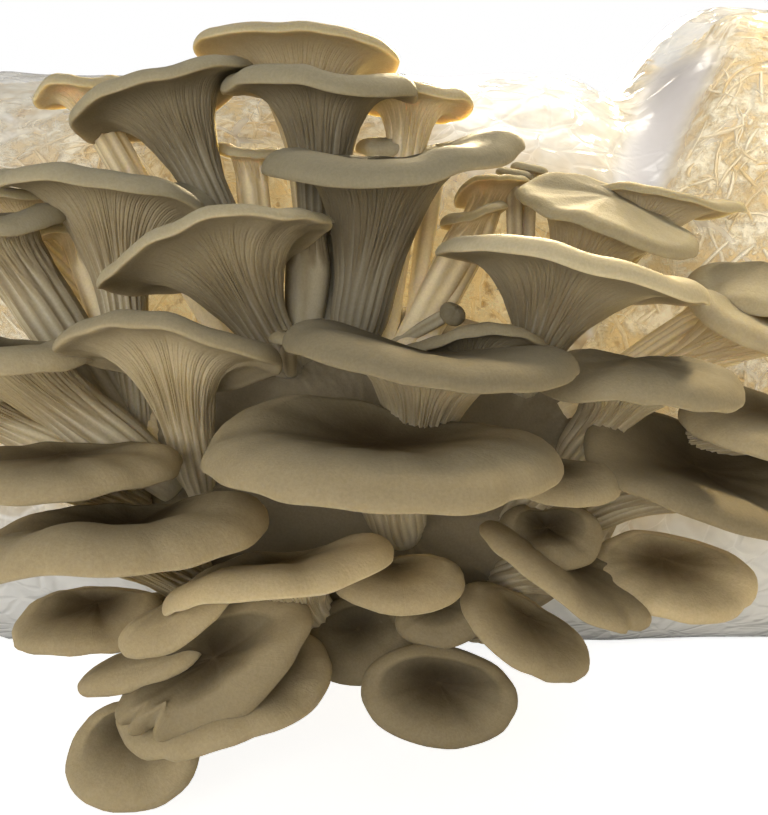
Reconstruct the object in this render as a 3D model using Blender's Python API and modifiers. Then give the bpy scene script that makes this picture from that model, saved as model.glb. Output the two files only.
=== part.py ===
"""Oyster mushroom grow bag: a clear film bag packed with straw, lying on its side, with one large
cluster of oyster mushrooms growing out of an opening in its front.

Metres, +Z up, X along the bag, -Y is the side that the cluster grows from.  The origin is the centre
of the bag's flat underside.
"""
import math
from collections import namedtuple

import bmesh
import bpy
from mathutils import Euler, Matrix, Vector
from mathutils.bvhtree import BVHTree

MM = 0.001
GAP = 0.4 * MM                     # room kept between pieces that touch
WELD = 0.02 * MM                   # points nearer than this are made one after a cut

# The bag
BAG_HALF_DEPTH = 150 * MM
BAG_HALF_HEIGHT = 151.5 * MM       # of the left and middle lobes
RIGHT_LOBE_RISE = 17 * MM          # how much more half-height the right lobe has
RIGHT_LOBE_START = 108 * MM
RIGHT_LOBE_END = 168 * MM
SECTION_POWER = 2.4                # 2 is an ellipse, more is squarer
SECTION_POINTS = 16
REST_FLAT = 14 * MM                 # how deep the round underside is pressed flat
FILM_THICKNESS = 0.8 * MM
STRAW_CLEARANCE = 0.6 * MM
LOBE_DIP = 6 * MM                  # the top sags a little where the lobes meet, here and this far around
LOBE_DIP_X = 112 * MM
LOBE_DIP_REACH = 20 * MM
FOLD_DEPTH = 22 * MM               # how far the straw stays under the film in the fold beside the right lobe
FOLD_X = 143 * MM
FOLD_REACH = 18 * MM
END_STRAW_GAP = 12 * MM            # room between straw and film at the gathered ends
NECK_X = 284 * MM
NECK_HALF_LENGTH = 4 * MM
NECK_RADIUS = 9 * MM
RUFFLE_LENGTH = 32 * MM
RUFFLE_RADIUS = 34 * MM
RUFFLE_FLATNESS = 0.7
TIE_RADIUS = 2.6 * MM
TIE_SLACK = 1.6 * MM

# The opening in the film, and the fused foot of the cluster that fills it
FOOT_CENTRE = Vector((-5, -171, 95)) * MM
FOOT_RADII = Vector((100, 30, 68)) * MM
OPENING_RADII = (88 * MM, 60 * MM)
OPENING_CUT_DEPTH = 60 * MM
STEM_REACH = 0.86                  # stems start inside this share of the foot's outline

# The shape that all the mushrooms share
NECK_SHARE = 0.28                  # the gills run down at most to this share of the way from foot to cap
FLARE_LENGTH = 0.6                 # or to this share of the cap's width below it
GILL_LEAVES_STEM = 0.22            # shares of a gill's length that it runs along the stem
GILL_MEETS_RIM = 0.38              # and level under the cap
GILL_FLAT_PART = 0.58              # of a spoke, the most that the gill lies level under the cap
LIP_IN, LIP_DOWN = 0.3, 0.46       # where the gill ends inside the rim, in margins
EDGE_OUT, EDGE_DOWN = 0.08, 0.3    # the outermost line of the turned-down edge
SHOULDER_IN, SHOULDER_UP = 0.75, 0.46  # the top of the turned-down edge
TOP_RING_IN = 0.55                 # of the way from the rolled edge to the middle of the cap
TOP_RING_DISH = 0.45               # how much of the dish is reached there
HEART_BACK = 0.08                  # the stem meets the cap this share of its depth behind the centre
HEART_BACK_SIDEWAYS = 0.33         # and this much more where the stem comes in from the side
STEM_DROP_SIDEWAYS = 1.2           # such a stem lies this many of its radii lower, under the cap
FLARE_STEPS = (0.58, 1.0)           # the places along a gill that have a ring of points
FOOT_TAPER = 0.75                  # a stem's radius at the foot, as a share of its radius at the neck
BROAD_CAP = 60                     # caps this wide have one ring more on top (mm)
STEM_SEAT = 1.2 * MM               # a stem ends this far from the smooth surface of the foot
MOST_SLANT = math.radians(45)      # between a stem and the plane that its foot is cut off square to

# name: cap centre, width, depth (mm), (pitch, roll) in degrees, margin, dish, (wave height, waves, turn),
# where the stem leaves the cluster's foot (x, z), stem radius, number of sides, and for some a lobe of
# the rim: how much it rises, in which direction and how wide it is (mm and degrees, 0 right, 90 front).
# Pitch tips the front rim down, roll lifts the right rim.
Mushroom = namedtuple("Mushroom", "name centre width depth pitch roll margin dish wave foot stem sides lobe",
                      defaults=((0, 0, 1),))
MUSHROOMS = (
    Mushroom("front_big", (0, -263, 118), 100, 81, 6, -2, 11, 7, (1, 2, 330), (6, 83), 10, 11, (6, 235, 40)),
    Mushroom("centre_wavy", (14, -252, 144), 86, 67, 0, -5, 8, 2, (3, 2, 10), (11, 105), 10, 10, (4, 205, 32)),
    Mushroom("lower_left_big", (-80, -258, 93), 89, 72, -1, 7, 11, 6, (1.5, 3, 40), (-69, 59), 9, 10),
    Mushroom("low_left_mid", (-32, -252, 80), 70, 58, -7, 12, 8, 3, (1.5, 3, 10), (-25, 45), 8, 9),
    Mushroom("front_left", (-65, -245, 147), 67, 52, -19, -5, 8, 6, (1.5, 3, 60), (-67, 97), 7, 8),
    Mushroom("low_folded", (-53, -252, 51), 65, 34, 58, 30, 8, 9, (3.0, 3, 230), (-35, 26), 7, 8),
    Mushroom("tongue_left", (-63, -254, 67), 37, 22, 20, 28, 6, 0, (1, 2, 0), (-42, 41), 5, 7),
    Mushroom("mid_left", (-55, -224, 179), 76, 60, -11, 16, 6, 5, (1.5, 3, 100), (-35, 141), 8, 8),
    Mushroom("upper_centre", (3, -208, 211), 89, 67, 12, 5, 8, 6, (3.5, 2, 0), (-12, 145), 10, 10),
    Mushroom("upper_right", (62, -222, 173), 89, 70, 1, -12, 7, 6, (1.5, 3, 0), (51, 134), 8, 10),
    Mushroom("mid_right", (82, -232, 138), 64, 50, 10, -3, 9, 0, (1.5, 3, 90), (68, 106), 7, 8),
    Mushroom("right_shell", (108, -224, 107), 84, 68, 24, -14, 5, 8, (2, 3, 50), (71, 83), 7, 10),
    Mushroom("lower_left_thin", (-106, -240, 110), 84, 66, 3, 3, 8, 3, (1, 3, 20), (-94, 87), 7, 9),
    Mushroom("low_centre", (5, -237, 74), 41, 32, 14, 1, 6, 2, (1, 2, 30), (4, 55), 6, 7),
    Mushroom("right_band", (59, -234, 76), 60, 48, 11, -27, 5, 3, (1.5, 2, 70), (43, 62), 6, 8),
    Mushroom("low_round", (18, -235, 35), 50, 32, 60, -5, 4.5, 6, (1, 3, 40), (15, 17), 6, 7),
    Mushroom("tongue_low", (-77, -245, 49), 41, 18, 25, 20, 5, 0, (1, 2, 90), (-50, 27), 5, 7),
    Mushroom("low_right_slim", (47, -228, 55), 48, 39, 18, -28, 5, 3, (1, 2, 0), (32, 40), 6, 7),
    Mushroom("low_under", (-52, -236, 38), 70, 57, 16, 13, 6, 4, (1.5, 3, 120), (-29, 17), 7, 8),
    Mushroom("low_right_big", (97, -222, 72), 55, 43, 26, -2, 5, 5, (1, 3, 0), (81, 57), 6, 7),
    Mushroom("right_small", (56, -237, 107), 38, 30, 15, -5, 6, 2, (1, 2, 0), (46, 84), 6, 7),
    Mushroom("dark_right", (54, -230, 87), 34, 27, 43, 3, 5, 4, (1.5, 3, 90), (50, 76), 6, 7),
    Mushroom("low_left", (-99, -226, 58), 48, 39, 16, 4, 5, 4, (1, 3, 60), (-76, 35), 6, 7),
    Mushroom("lowest", (-79, -246, 21), 42, 35, 43, 2, 5, 3, (1, 3, 0), (-54, 8), 6, 7),
    Mushroom("top_centre", (-24, -178, 244), 72, 54, 9, -3, 8, 6, (1.5, 3, 10), (-29, 179), 8, 9),
    Mushroom("top_left", (-83, -175, 241), 70, 56, -2, 20, 7, 6, (1.5, 2, 60), (-55, 174), 7, 8),
    Mushroom("upper_left", (-99, -195, 205), 81, 61, 5, -4, 7, 6, (1.5, 3, 80), (-100, 104), 7, 8, (-9, 0, 25)),
    Mushroom("edge_left_mid", (-125, -230, 146), 65, 51, 3, 0, 8, 6, (1.5, 3, 0), (-80, 99), 10, 8),
    Mushroom("edge_left_upper", (-139, -202, 190), 55, 43, 11, 8, 7, 5, (1, 3, 0), (-106, 108), 10, 7),
    Mushroom("edge_right", (135, -210, 121), 64, 50, 24, -8, 6, 3, (1.5, 3, 30), (95, 98), 6, 8),
    Mushroom("edge_right_wavy", (140, -190, 155), 63, 51, 24, -8, 6, 2, (2, 3, 0), (95, 124), 6, 8,
             (10, 180, 35)),
    Mushroom("edge_right_upper", (146, -178, 169), 61, 40, 30, -4, 6, -3, (1.5, 3, 60), (92, 135), 6, 8),
    Mushroom("centre_cup", (29, -220, 149), 51, 35, -6, 3, 5, 6, (2.5, 2, 200), (24, 126), 6, 7),
    Mushroom("back_right_folded", (83, -182, 195), 70, 56, 20, -17, 5, -4, (1, 3, 0), (68, 150), 6, 8,
             (7, 260, 55)),
    Mushroom("top_back", (-34, -158, 261), 79, 59, -7, -3, 6, 6, (1.5, 2, 0), (-31, 183), 7, 9),
    Mushroom("top_right", (11, -162, 243), 46, 34, -6, -3, 6, 5, (1, 3, 0), (4, 183), 6, 7),
    Mushroom("top_left_back", (-118, -160, 247), 36, 27, -6, 7, 6, 5, (1.5, 3, 0), (-93, 178), 6, 7),
    Mushroom("back_right", (108, -160, 205), 68, 32, 0, -7, 4, 1, (1, 3, 0), (81, 157), 6, 8),
    Mushroom("back_left", (-145, -175, 203), 57, 41, -2, 1, 5, 5, (1, 3, 0), (-114, 154), 6, 7),
    Mushroom("edge_left_back", (-153, -202, 130), 50, 38, -9, 2, 7, 5, (1, 3, 0), (-110, 98), 6, 7),
    Mushroom("arch_left", (-116, -178, 191), 27, 22, 0, 7, 5, 4, (1, 3, 0), (-112, 118), 7, 6),
    Mushroom("hidden_funnel", (-53, -162, 223), 29, 23, 6, -6, 4, 4, (1, 2, 0), (-56, 169), 6, 6),
    Mushroom("slim_right", (34, -175, 197), 26, 21, -3, 16, 4, 3, (1, 2, 0), (6, 144), 7, 6),
    Mushroom("arch_right", (42, -164, 208), 30, 24, -20, 10, 4, 4, (1, 3, 0), (12, 146), 7, 6),
    Mushroom("mid_smooth", (-26, -200, 190), 24, 20, -7, 7, 4, 3, (0.5, 2, 0), (-30, 146), 8, 6),
    Mushroom("small_round", (-1, -166, 225), 19, 16, 28, 2, 4, 0, (0.5, 2, 0), (-2, 176), 4, 6),
    Mushroom("small_round_right", (21, -164, 223), 21, 18, 25, 11, 4, 0, (0.5, 2, 0), (15, 172), 4, 6),
    Mushroom("small_back_right", (51, -162, 215), 14, 12, 5, -10, 3, 1, (0.3, 2, 0), (64, 152), 3, 6),
    Mushroom("small_back_far", (58, -156, 218), 15, 14, 5, -12, 3, 1, (0.3, 2, 0), (74, 156), 3, 6),
    Mushroom("bud", (-31, -232, 151), 11, 10, 10, 0, 3, 0, (0.3, 2, 0), (-34, 138), 3, 6),
    Mushroom("button", (25, -196, 160), 9, 9, 48, -30, 4, 0, (0.3, 2, 0), (-2, 145), 2.5, 6),
    Mushroom("low_web", (20, -222, 58), 32, 22, 48, 12, 5, 2, (0.5, 2, 0), (17, 40), 5, 6),
    Mushroom("low_behind", (-9, -214, 47), 38, 31, 53, 2, 5, 3, (0.5, 2, 0), (-11, 19), 6, 7),
)


def remove_everything():
    for obj in list(bpy.data.objects):
        bpy.data.objects.remove(obj)


def new_collection(name):
    collection = bpy.data.collections.new(name)
    bpy.context.scene.collection.children.link(collection)
    return collection


def new_material(name, colour, roughness, alpha=1.0):
    material = bpy.data.materials.new(name)
    material.use_nodes = True
    shader = material.node_tree.nodes["Principled BSDF"]
    shader.inputs["Base Color"].default_value = (*colour, 1.0)
    shader.inputs["Roughness"].default_value = roughness
    shader.inputs["Alpha"].default_value = alpha
    material.diffuse_color = (*colour, alpha)
    return material


def add_object(name, mesh, collection, material):
    obj = bpy.data.objects.new(name, mesh)
    obj.data.materials.append(material)
    collection.objects.link(obj)
    return obj


def hide_cutter(obj, cutters):
    for collection in list(obj.users_collection):
        collection.objects.unlink(obj)
    cutters.objects.link(obj)
    obj.hide_render = True
    obj.display_type = "WIRE"


def skin_rings(rings, first_centre=None, last_centre=None):
    """Join closed rings of equal length into a surface, with a fan on each end that has a centre."""
    bm = bmesh.new()
    loops = [[bm.verts.new(point) for point in ring] for ring in rings]
    count = len(rings[0])
    for lower, upper in zip(loops, loops[1:]):
        for i in range(count):
            j = (i + 1) % count
            bm.faces.new((lower[i], lower[j], upper[j], upper[i]))
    for centre, loop, turn in ((first_centre, loops[0], -1), (last_centre, loops[-1], 1)):
        if centre is None:
            continue
        tip = bm.verts.new(centre)
        for i in range(count):
            j = (i + 1) % count
            bm.faces.new((loop[i], loop[j], tip)[::turn])
    bmesh.ops.recalc_face_normals(bm, faces=bm.faces)
    return bm


def finish_mesh(bm, name):
    mesh = bpy.data.meshes.new(name)
    bm.to_mesh(mesh)
    bm.free()
    mesh.shade_smooth()
    return mesh


# ---------------------------------------------------------------- the bag

def smooth_step(value, start, end):
    t = min(max((value - start) / (end - start), 0.0), 1.0)
    return t * t * (3 - 2 * t)


def superellipse(angle, half_width, half_height):
    c = math.cos(angle)
    s = math.sin(angle)
    power = 2 / SECTION_POWER
    return (math.copysign(abs(c) ** power, c) * half_width,
            math.copysign(abs(s) ** power, s) * half_height)


def bag_half_height(x):
    rise = RIGHT_LOBE_RISE * smooth_step(x, RIGHT_LOBE_START, RIGHT_LOBE_END)
    dip = LOBE_DIP * math.exp(-((x - LOBE_DIP_X) / LOBE_DIP_REACH) ** 2)
    return BAG_HALF_HEIGHT + rise - dip


# x, share of the bag's width, share of its height
LEFT_END = ((-255, 0.62, 0.03), (-249, 0.80, 0.36), (-230, 0.95, 0.80))
MIDDLE = (-190, -100, 0, 80, 112, 140, 168, 208)
RIGHT_END = ((240, 0.86, 0.86), (260, 0.52, 0.52), (272, 0.24, 0.24))


def film_stations():
    """Each place along the bag where its section is set: x and the shares of width and height."""
    neck_share = NECK_RADIUS / BAG_HALF_DEPTH
    ruffle_share = RUFFLE_RADIUS / BAG_HALF_DEPTH
    stations = [(x * MM, wide, high) for x, wide, high in LEFT_END]
    stations += [(x * MM, 1.0, 1.0) for x in MIDDLE]
    stations += [(x * MM, wide, high) for x, wide, high in RIGHT_END]
    stations += [(NECK_X + side * NECK_HALF_LENGTH, neck_share, neck_share) for side in (-1, 1)]
    stations.append((NECK_X + RUFFLE_LENGTH, ruffle_share, ruffle_share * RUFFLE_FLATNESS))
    return stations


def bag_section(x, wide, high, inset=0.0):
    """One closed ring around the bag, pressed flat where it rests on the floor."""
    half_height = bag_half_height(x)
    ring = []
    for i in range(SECTION_POINTS):
        angle = 2 * math.pi * (i + 0.5) / SECTION_POINTS
        y, z = superellipse(angle, BAG_HALF_DEPTH * wide - inset, half_height * high - inset)
        ring.append(Vector((x, y, max(z + half_height - REST_FLAT, inset))))
    return ring


def fold_between_lobes(x):
    return FOLD_DEPTH * math.exp(-((x - FOLD_X) / FOLD_REACH) ** 2)


def make_film(parts, cutters, material):
    """The clear bag: an open surface given a thickness, with an oval opening cut in its front."""
    rings = [bag_section(*station) for station in film_stations()]
    weld = sum(rings[0], Vector()) / SECTION_POINTS
    mesh = finish_mesh(skin_rings(rings, first_centre=weld), "bag_film")
    film = add_object("bag_film", mesh, parts, material)
    thickness = film.modifiers.new("film thickness", "SOLIDIFY")
    thickness.thickness = FILM_THICKNESS
    thickness.offset = -1
    bpy.ops.mesh.primitive_cylinder_add(vertices=24, radius=1, depth=1)
    cutter = bpy.context.active_object
    cutter.name = "film_opening_cutter"
    cutter.scale = (*OPENING_RADII, OPENING_CUT_DEPTH)
    cutter.rotation_euler = (math.radians(90), 0, 0)
    cutter.location = (FOOT_CENTRE.x, -BAG_HALF_DEPTH, FOOT_CENTRE.z)
    hide_cutter(cutter, cutters)
    opening = film.modifiers.new("opening", "BOOLEAN")
    opening.object = cutter
    return film


def make_straw(parts, material):
    """The packed straw: the film's own form, a little smaller, with a fold between the lobes."""
    rings = []
    for x, wide, high in film_stations()[1:-3]:
        inset = FILM_THICKNESS + STRAW_CLEARANCE + END_STRAW_GAP * (1 - min(wide, high)) + fold_between_lobes(x)
        rings.append([Vector((x, p.y, p.z)) for p in bag_section(x, wide, high, inset)])
    centres = [sum(ring, Vector()) / SECTION_POINTS for ring in (rings[0], rings[-1])]
    mesh = finish_mesh(skin_rings(rings, *centres), "straw_block")
    return add_object("straw_block", mesh, parts, material)


def make_tie(parts, material):
    bpy.ops.mesh.primitive_torus_add(
        location=(NECK_X, 0, bag_half_height(NECK_X) - REST_FLAT), rotation=(0, math.radians(90), 0),
        major_segments=16, minor_segments=6,
        major_radius=NECK_RADIUS + TIE_RADIUS + TIE_SLACK, minor_radius=TIE_RADIUS)
    tie = bpy.context.active_object
    for collection in list(tie.users_collection):
        collection.objects.unlink(tie)
    parts.objects.link(tie)
    tie.name = "neck_tie"
    tie.data.materials.append(material)
    tie.data.shade_smooth()
    return tie


# ---------------------------------------------------------------- the cluster

def stem_start(x, z):
    """The point on the surface of the cluster's foot where a stem's axis begins."""
    across = (x * MM - FOOT_CENTRE.x) / FOOT_RADII.x
    up = (z * MM - FOOT_CENTRE.z) / FOOT_RADII.z
    distance = math.hypot(across, up)
    shrink = min(1.0, STEM_REACH / max(distance, 1e-6))
    across *= shrink
    up *= shrink
    depth = FOOT_RADII.y * math.sqrt(1 - across * across - up * up) + STEM_SEAT
    return FOOT_CENTRE + Vector((across * FOOT_RADII.x, -depth, up * FOOT_RADII.z))


def stem_end_normal(foot, along):
    """The way the end of a stem faces: square to the foot's surface, but never very slanting."""
    arm = foot - FOOT_CENTRE
    normal = Vector([part / radius ** 2 for part, radius in zip(arm, FOOT_RADII)]).normalized()
    slant = normal.angle(along)
    return normal.slerp(along, max(0.0, 1 - MOST_SLANT / max(slant, MOST_SLANT)))


def bezier(p0, p1, p2, p3, t):
    s = 1 - t
    return p0 * s ** 3 + p1 * (3 * s * s * t) + p2 * (3 * s * t * t) + p3 * t ** 3


def ripple(shape, angle):
    """How far the rim of a cap rises or falls at this angle."""
    height, waves, turn = shape.wave
    rise, direction, spread = shape.lobe
    off = (math.degrees(angle) - direction + 180) % 360 - 180
    wave = height * math.cos(waves * angle + math.radians(turn))
    return (wave + rise * math.exp(-(off / spread) ** 2)) * MM


def mushroom_rings(shape):
    """The rings of one mushroom, from the foot of its stem up under the cap, over the rim and in."""
    turn = Euler((math.radians(shape.pitch), math.radians(-shape.roll), 0)).to_matrix()
    right, front, up = turn @ Vector((1, 0, 0)), turn @ Vector((0, -1, 0)), turn @ Vector((0, 0, 1))
    centre = Vector(shape.centre) * MM
    margin = shape.margin * MM
    dish = shape.dish * MM
    half_width, half_depth = shape.width * MM / 2, shape.depth * MM / 2
    foot = stem_start(*shape.foot)
    lean = max(0.0, (centre - foot).normalized().dot(up))
    heart = centre - front * (shape.depth * MM * (HEART_BACK + HEART_BACK_SIDEWAYS * (1 - lean)))
    seat = heart - up * (shape.stem * MM * STEM_DROP_SIDEWAYS * (1 - lean))
    along = (seat - foot).normalized()
    end_normal = stem_end_normal(foot, along)
    across = (right - along * right.dot(along)).normalized()
    toward = across.cross(along)
    length = (seat - foot).length
    neck = seat - along * min((1 - NECK_SHARE) * length, FLARE_LENGTH * 2 * half_width)
    rings = [[] for _ in range(len(FLARE_STEPS) + 5)]
    for i in range(shape.sides):
        angle = 2 * math.pi * i / shape.sides
        spoke = right * (math.cos(angle) * half_width) + front * (math.sin(angle) * half_depth)
        out = spoke.normalized()
        rim = centre + spoke + up * ripple(shape, angle)
        stem_side = (across * math.cos(angle) + toward * math.sin(angle)) * (shape.stem * MM)
        gill_start = neck + stem_side
        gill_end = rim - out * (LIP_IN * margin) - up * (LIP_DOWN * margin)
        reach = (gill_end - gill_start).length
        leaving = gill_start + along * (GILL_LEAVES_STEM * reach)
        meeting = gill_end - out * min(GILL_MEETS_RIM * reach, GILL_FLAT_PART * spoke.length)
        stem_foot = stem_side * FOOT_TAPER
        rings[0].append(foot + stem_foot - along * (stem_foot.dot(end_normal) / along.dot(end_normal)))
        rings[1].append(gill_start)
        for step, t in enumerate(FLARE_STEPS):
            rings[2 + step].append(bezier(gill_start, leaving, meeting, gill_end, t))
        rings[-3].append(rim + out * (EDGE_OUT * margin) - up * (EDGE_DOWN * margin))
        shoulder = rim - out * (SHOULDER_IN * margin) + up * (SHOULDER_UP * margin)
        rings[-2].append(shoulder)
        rings[-1].append(shoulder.lerp(heart, TOP_RING_IN) + up * (TOP_RING_DISH * (margin / 2 - dish)))
    if shape.width < BROAD_CAP:
        rings.pop()
    return rings, foot, heart + up * (margin / 2 - dish)


def make_mushroom(shape, parts, material):
    rings, foot, dish = mushroom_rings(shape)
    bm = skin_rings(rings, foot, dish)
    bmesh.ops.triangulate(bm, faces=bm.faces)
    return add_object("mushroom_" + shape.name, finish_mesh(bm, shape.name), parts, material)


def make_foot(parts, material):
    """The fused base that all the stems grow from."""
    bpy.ops.mesh.primitive_uv_sphere_add(segments=16, ring_count=8, radius=1)
    foot = bpy.context.active_object
    for collection in list(foot.users_collection):
        collection.objects.unlink(foot)
    parts.objects.link(foot)
    foot.name = "cluster_foot"
    foot.data.transform(Matrix.Diagonal((*FOOT_RADII, 1)))
    foot.location = FOOT_CENTRE
    foot.data.materials.append(material)
    foot.data.shade_smooth()
    return foot


def swollen_copy(obj, cutters):
    """A copy whose faces stand GAP proud of the piece, to cut its neighbours with."""
    bm = bmesh.new()
    bm.from_mesh(obj.data)
    bm.transform(obj.matrix_world)
    bm.normal_update()
    moves = [(vert, vert.normal * (GAP * vert.calc_shell_factor())) for vert in bm.verts]
    for vert, move in moves:
        vert.co += move
    mesh = bpy.data.meshes.new(obj.name + "_room")
    bm.to_mesh(mesh)
    bm.free()
    room = bpy.data.objects.new(obj.name + "_room", mesh)
    cutters.objects.link(room)
    hide_cutter(room, cutters)
    return room


def surface_tree(obj):
    matrix = obj.matrix_world
    points = [matrix @ vert.co for vert in obj.data.vertices]
    return BVHTree.FromPolygons(points, [tuple(face.vertices) for face in obj.data.polygons])


def keep_largest_piece(bm):
    """Delete what a cut has severed, or left hanging by one edge, so that one solid is left."""
    unseen = set(bm.faces)
    pieces = []
    while unseen:
        stack = [unseen.pop()]
        piece = set(stack)
        while stack:
            for edge in stack.pop().edges:
                if len(edge.link_faces) != 2:
                    continue
                for face in edge.link_faces:
                    if face in unseen:
                        unseen.discard(face)
                        piece.add(face)
                        stack.append(face)
        pieces.append(piece)
    pieces.sort(key=lambda piece: sum(face.calc_area() for face in piece))
    for piece in pieces[:-1]:
        bmesh.ops.delete(bm, geom=list(piece), context="FACES")
    loose = [vert for vert in bm.verts if not vert.link_faces]
    bmesh.ops.delete(bm, geom=loose, context="VERTS")


def cut_by_neighbours(obj, rooms):
    """Cut away from obj the room of every earlier piece that it grows against."""
    tree = surface_tree(obj)
    touching = [room for room, room_tree in rooms if tree.overlap(room_tree)]
    if not touching:
        return
    for room in touching:
        cut = obj.modifiers.new(room.name, "BOOLEAN")
        cut.object = room
        cut.use_self = True
    bpy.context.view_layer.update()
    evaluated = obj.evaluated_get(bpy.context.evaluated_depsgraph_get())
    bm = bmesh.new()
    bm.from_mesh(evaluated.to_mesh())
    evaluated.to_mesh_clear()
    obj.modifiers.clear()
    bmesh.ops.triangulate(bm, faces=bm.faces)
    bmesh.ops.remove_doubles(bm, verts=bm.verts, dist=WELD)
    bmesh.ops.dissolve_degenerate(bm, edges=bm.edges, dist=WELD)
    keep_largest_piece(bm)
    bm.to_mesh(obj.data)
    bm.free()
    obj.data.shade_smooth()


def make_cluster(parts, cutters, straw, flesh, base):
    """Grow the mushrooms from front to back: each later one is cut to fit round the earlier ones."""
    foot = make_foot(parts, base)
    bpy.context.view_layer.update()
    straw_room = swollen_copy(straw, cutters)
    rooms = [(straw_room, surface_tree(straw_room))]
    cut_by_neighbours(foot, rooms)
    foot_room = swollen_copy(foot, cutters)
    rooms.append((foot_room, surface_tree(foot_room)))
    for shape in MUSHROOMS:
        mushroom = make_mushroom(shape, parts, flesh)
        room = swollen_copy(mushroom, cutters)
        cut_by_neighbours(mushroom, rooms)
        rooms.append((room, surface_tree(room)))


def main():
    remove_everything()
    parts = new_collection("oyster_mushroom_grow_bag")
    cutters = new_collection("cutters")
    make_film(parts, cutters, new_material("clear film", (0.84, 0.83, 0.81), 0.15, 0.35))
    straw = make_straw(parts, new_material("packed straw", (0.78, 0.62, 0.32), 0.85))
    make_tie(parts, new_material("twine", (0.55, 0.46, 0.30), 0.9))
    flesh = new_material("mushroom flesh", (0.42, 0.37, 0.27), 0.55)
    base = new_material("fused stems", (0.60, 0.54, 0.42), 0.6)
    make_cluster(parts, cutters, straw, flesh, base)


if __name__ == "__main__":
    main()
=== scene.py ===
"""Dresses the oyster mushroom grow bag: gilled mushrooms, straw strands, creased film and a twine tie."""
import math
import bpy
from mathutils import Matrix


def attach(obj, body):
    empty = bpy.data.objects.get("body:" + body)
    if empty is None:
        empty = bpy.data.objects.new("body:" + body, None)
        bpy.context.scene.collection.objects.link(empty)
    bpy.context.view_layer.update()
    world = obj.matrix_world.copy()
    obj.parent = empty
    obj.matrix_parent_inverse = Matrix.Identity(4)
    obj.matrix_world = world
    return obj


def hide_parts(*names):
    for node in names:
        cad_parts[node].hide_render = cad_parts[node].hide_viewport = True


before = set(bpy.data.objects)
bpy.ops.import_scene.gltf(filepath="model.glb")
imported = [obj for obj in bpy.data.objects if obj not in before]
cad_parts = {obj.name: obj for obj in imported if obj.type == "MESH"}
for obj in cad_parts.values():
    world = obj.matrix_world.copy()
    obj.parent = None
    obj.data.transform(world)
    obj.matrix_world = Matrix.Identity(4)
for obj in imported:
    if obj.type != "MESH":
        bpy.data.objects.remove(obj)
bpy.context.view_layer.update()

import zlib
from collections import namedtuple

import bpy
import numpy as np
from bpy.props import FloatProperty, FloatVectorProperty, IntProperty, PointerProperty
from mathutils import Euler, Vector

bl_info = {
    "name": "Oyster mushroom grow bag",
    "version": (1, 0, 0),
    "blender": (4, 5, 0),
    "location": "View3D > Sidebar > Grow bag",
    "description": "Dresses a straw bag and the oyster mushrooms that grow out of it",
    "category": "Object",
}

MM = 0.001
BODY = "root"
BLACK, WHITE = (0.0, 0.0, 0.0), (1.0, 1.0, 1.0)

# The cluster's foot and the rule for every mushroom, as in the solids
FOOT_CENTRE = np.array((-5, -171, 95)) * MM
FOOT_RADII = np.array((100, 30, 68)) * MM
STEM_REACH = 0.86
NECK_SHARE = 0.28
FLARE_LENGTH = 0.6
GILL_LEAVES_STEM = 0.22
GILL_MEETS_RIM = 0.38
GILL_FLAT_PART = 0.58
HEART_BACK = 0.08
HEART_BACK_SIDEWAYS = 0.33
STEM_DROP_SIDEWAYS = 1.2
FOOT_TAPER = 0.75

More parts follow.
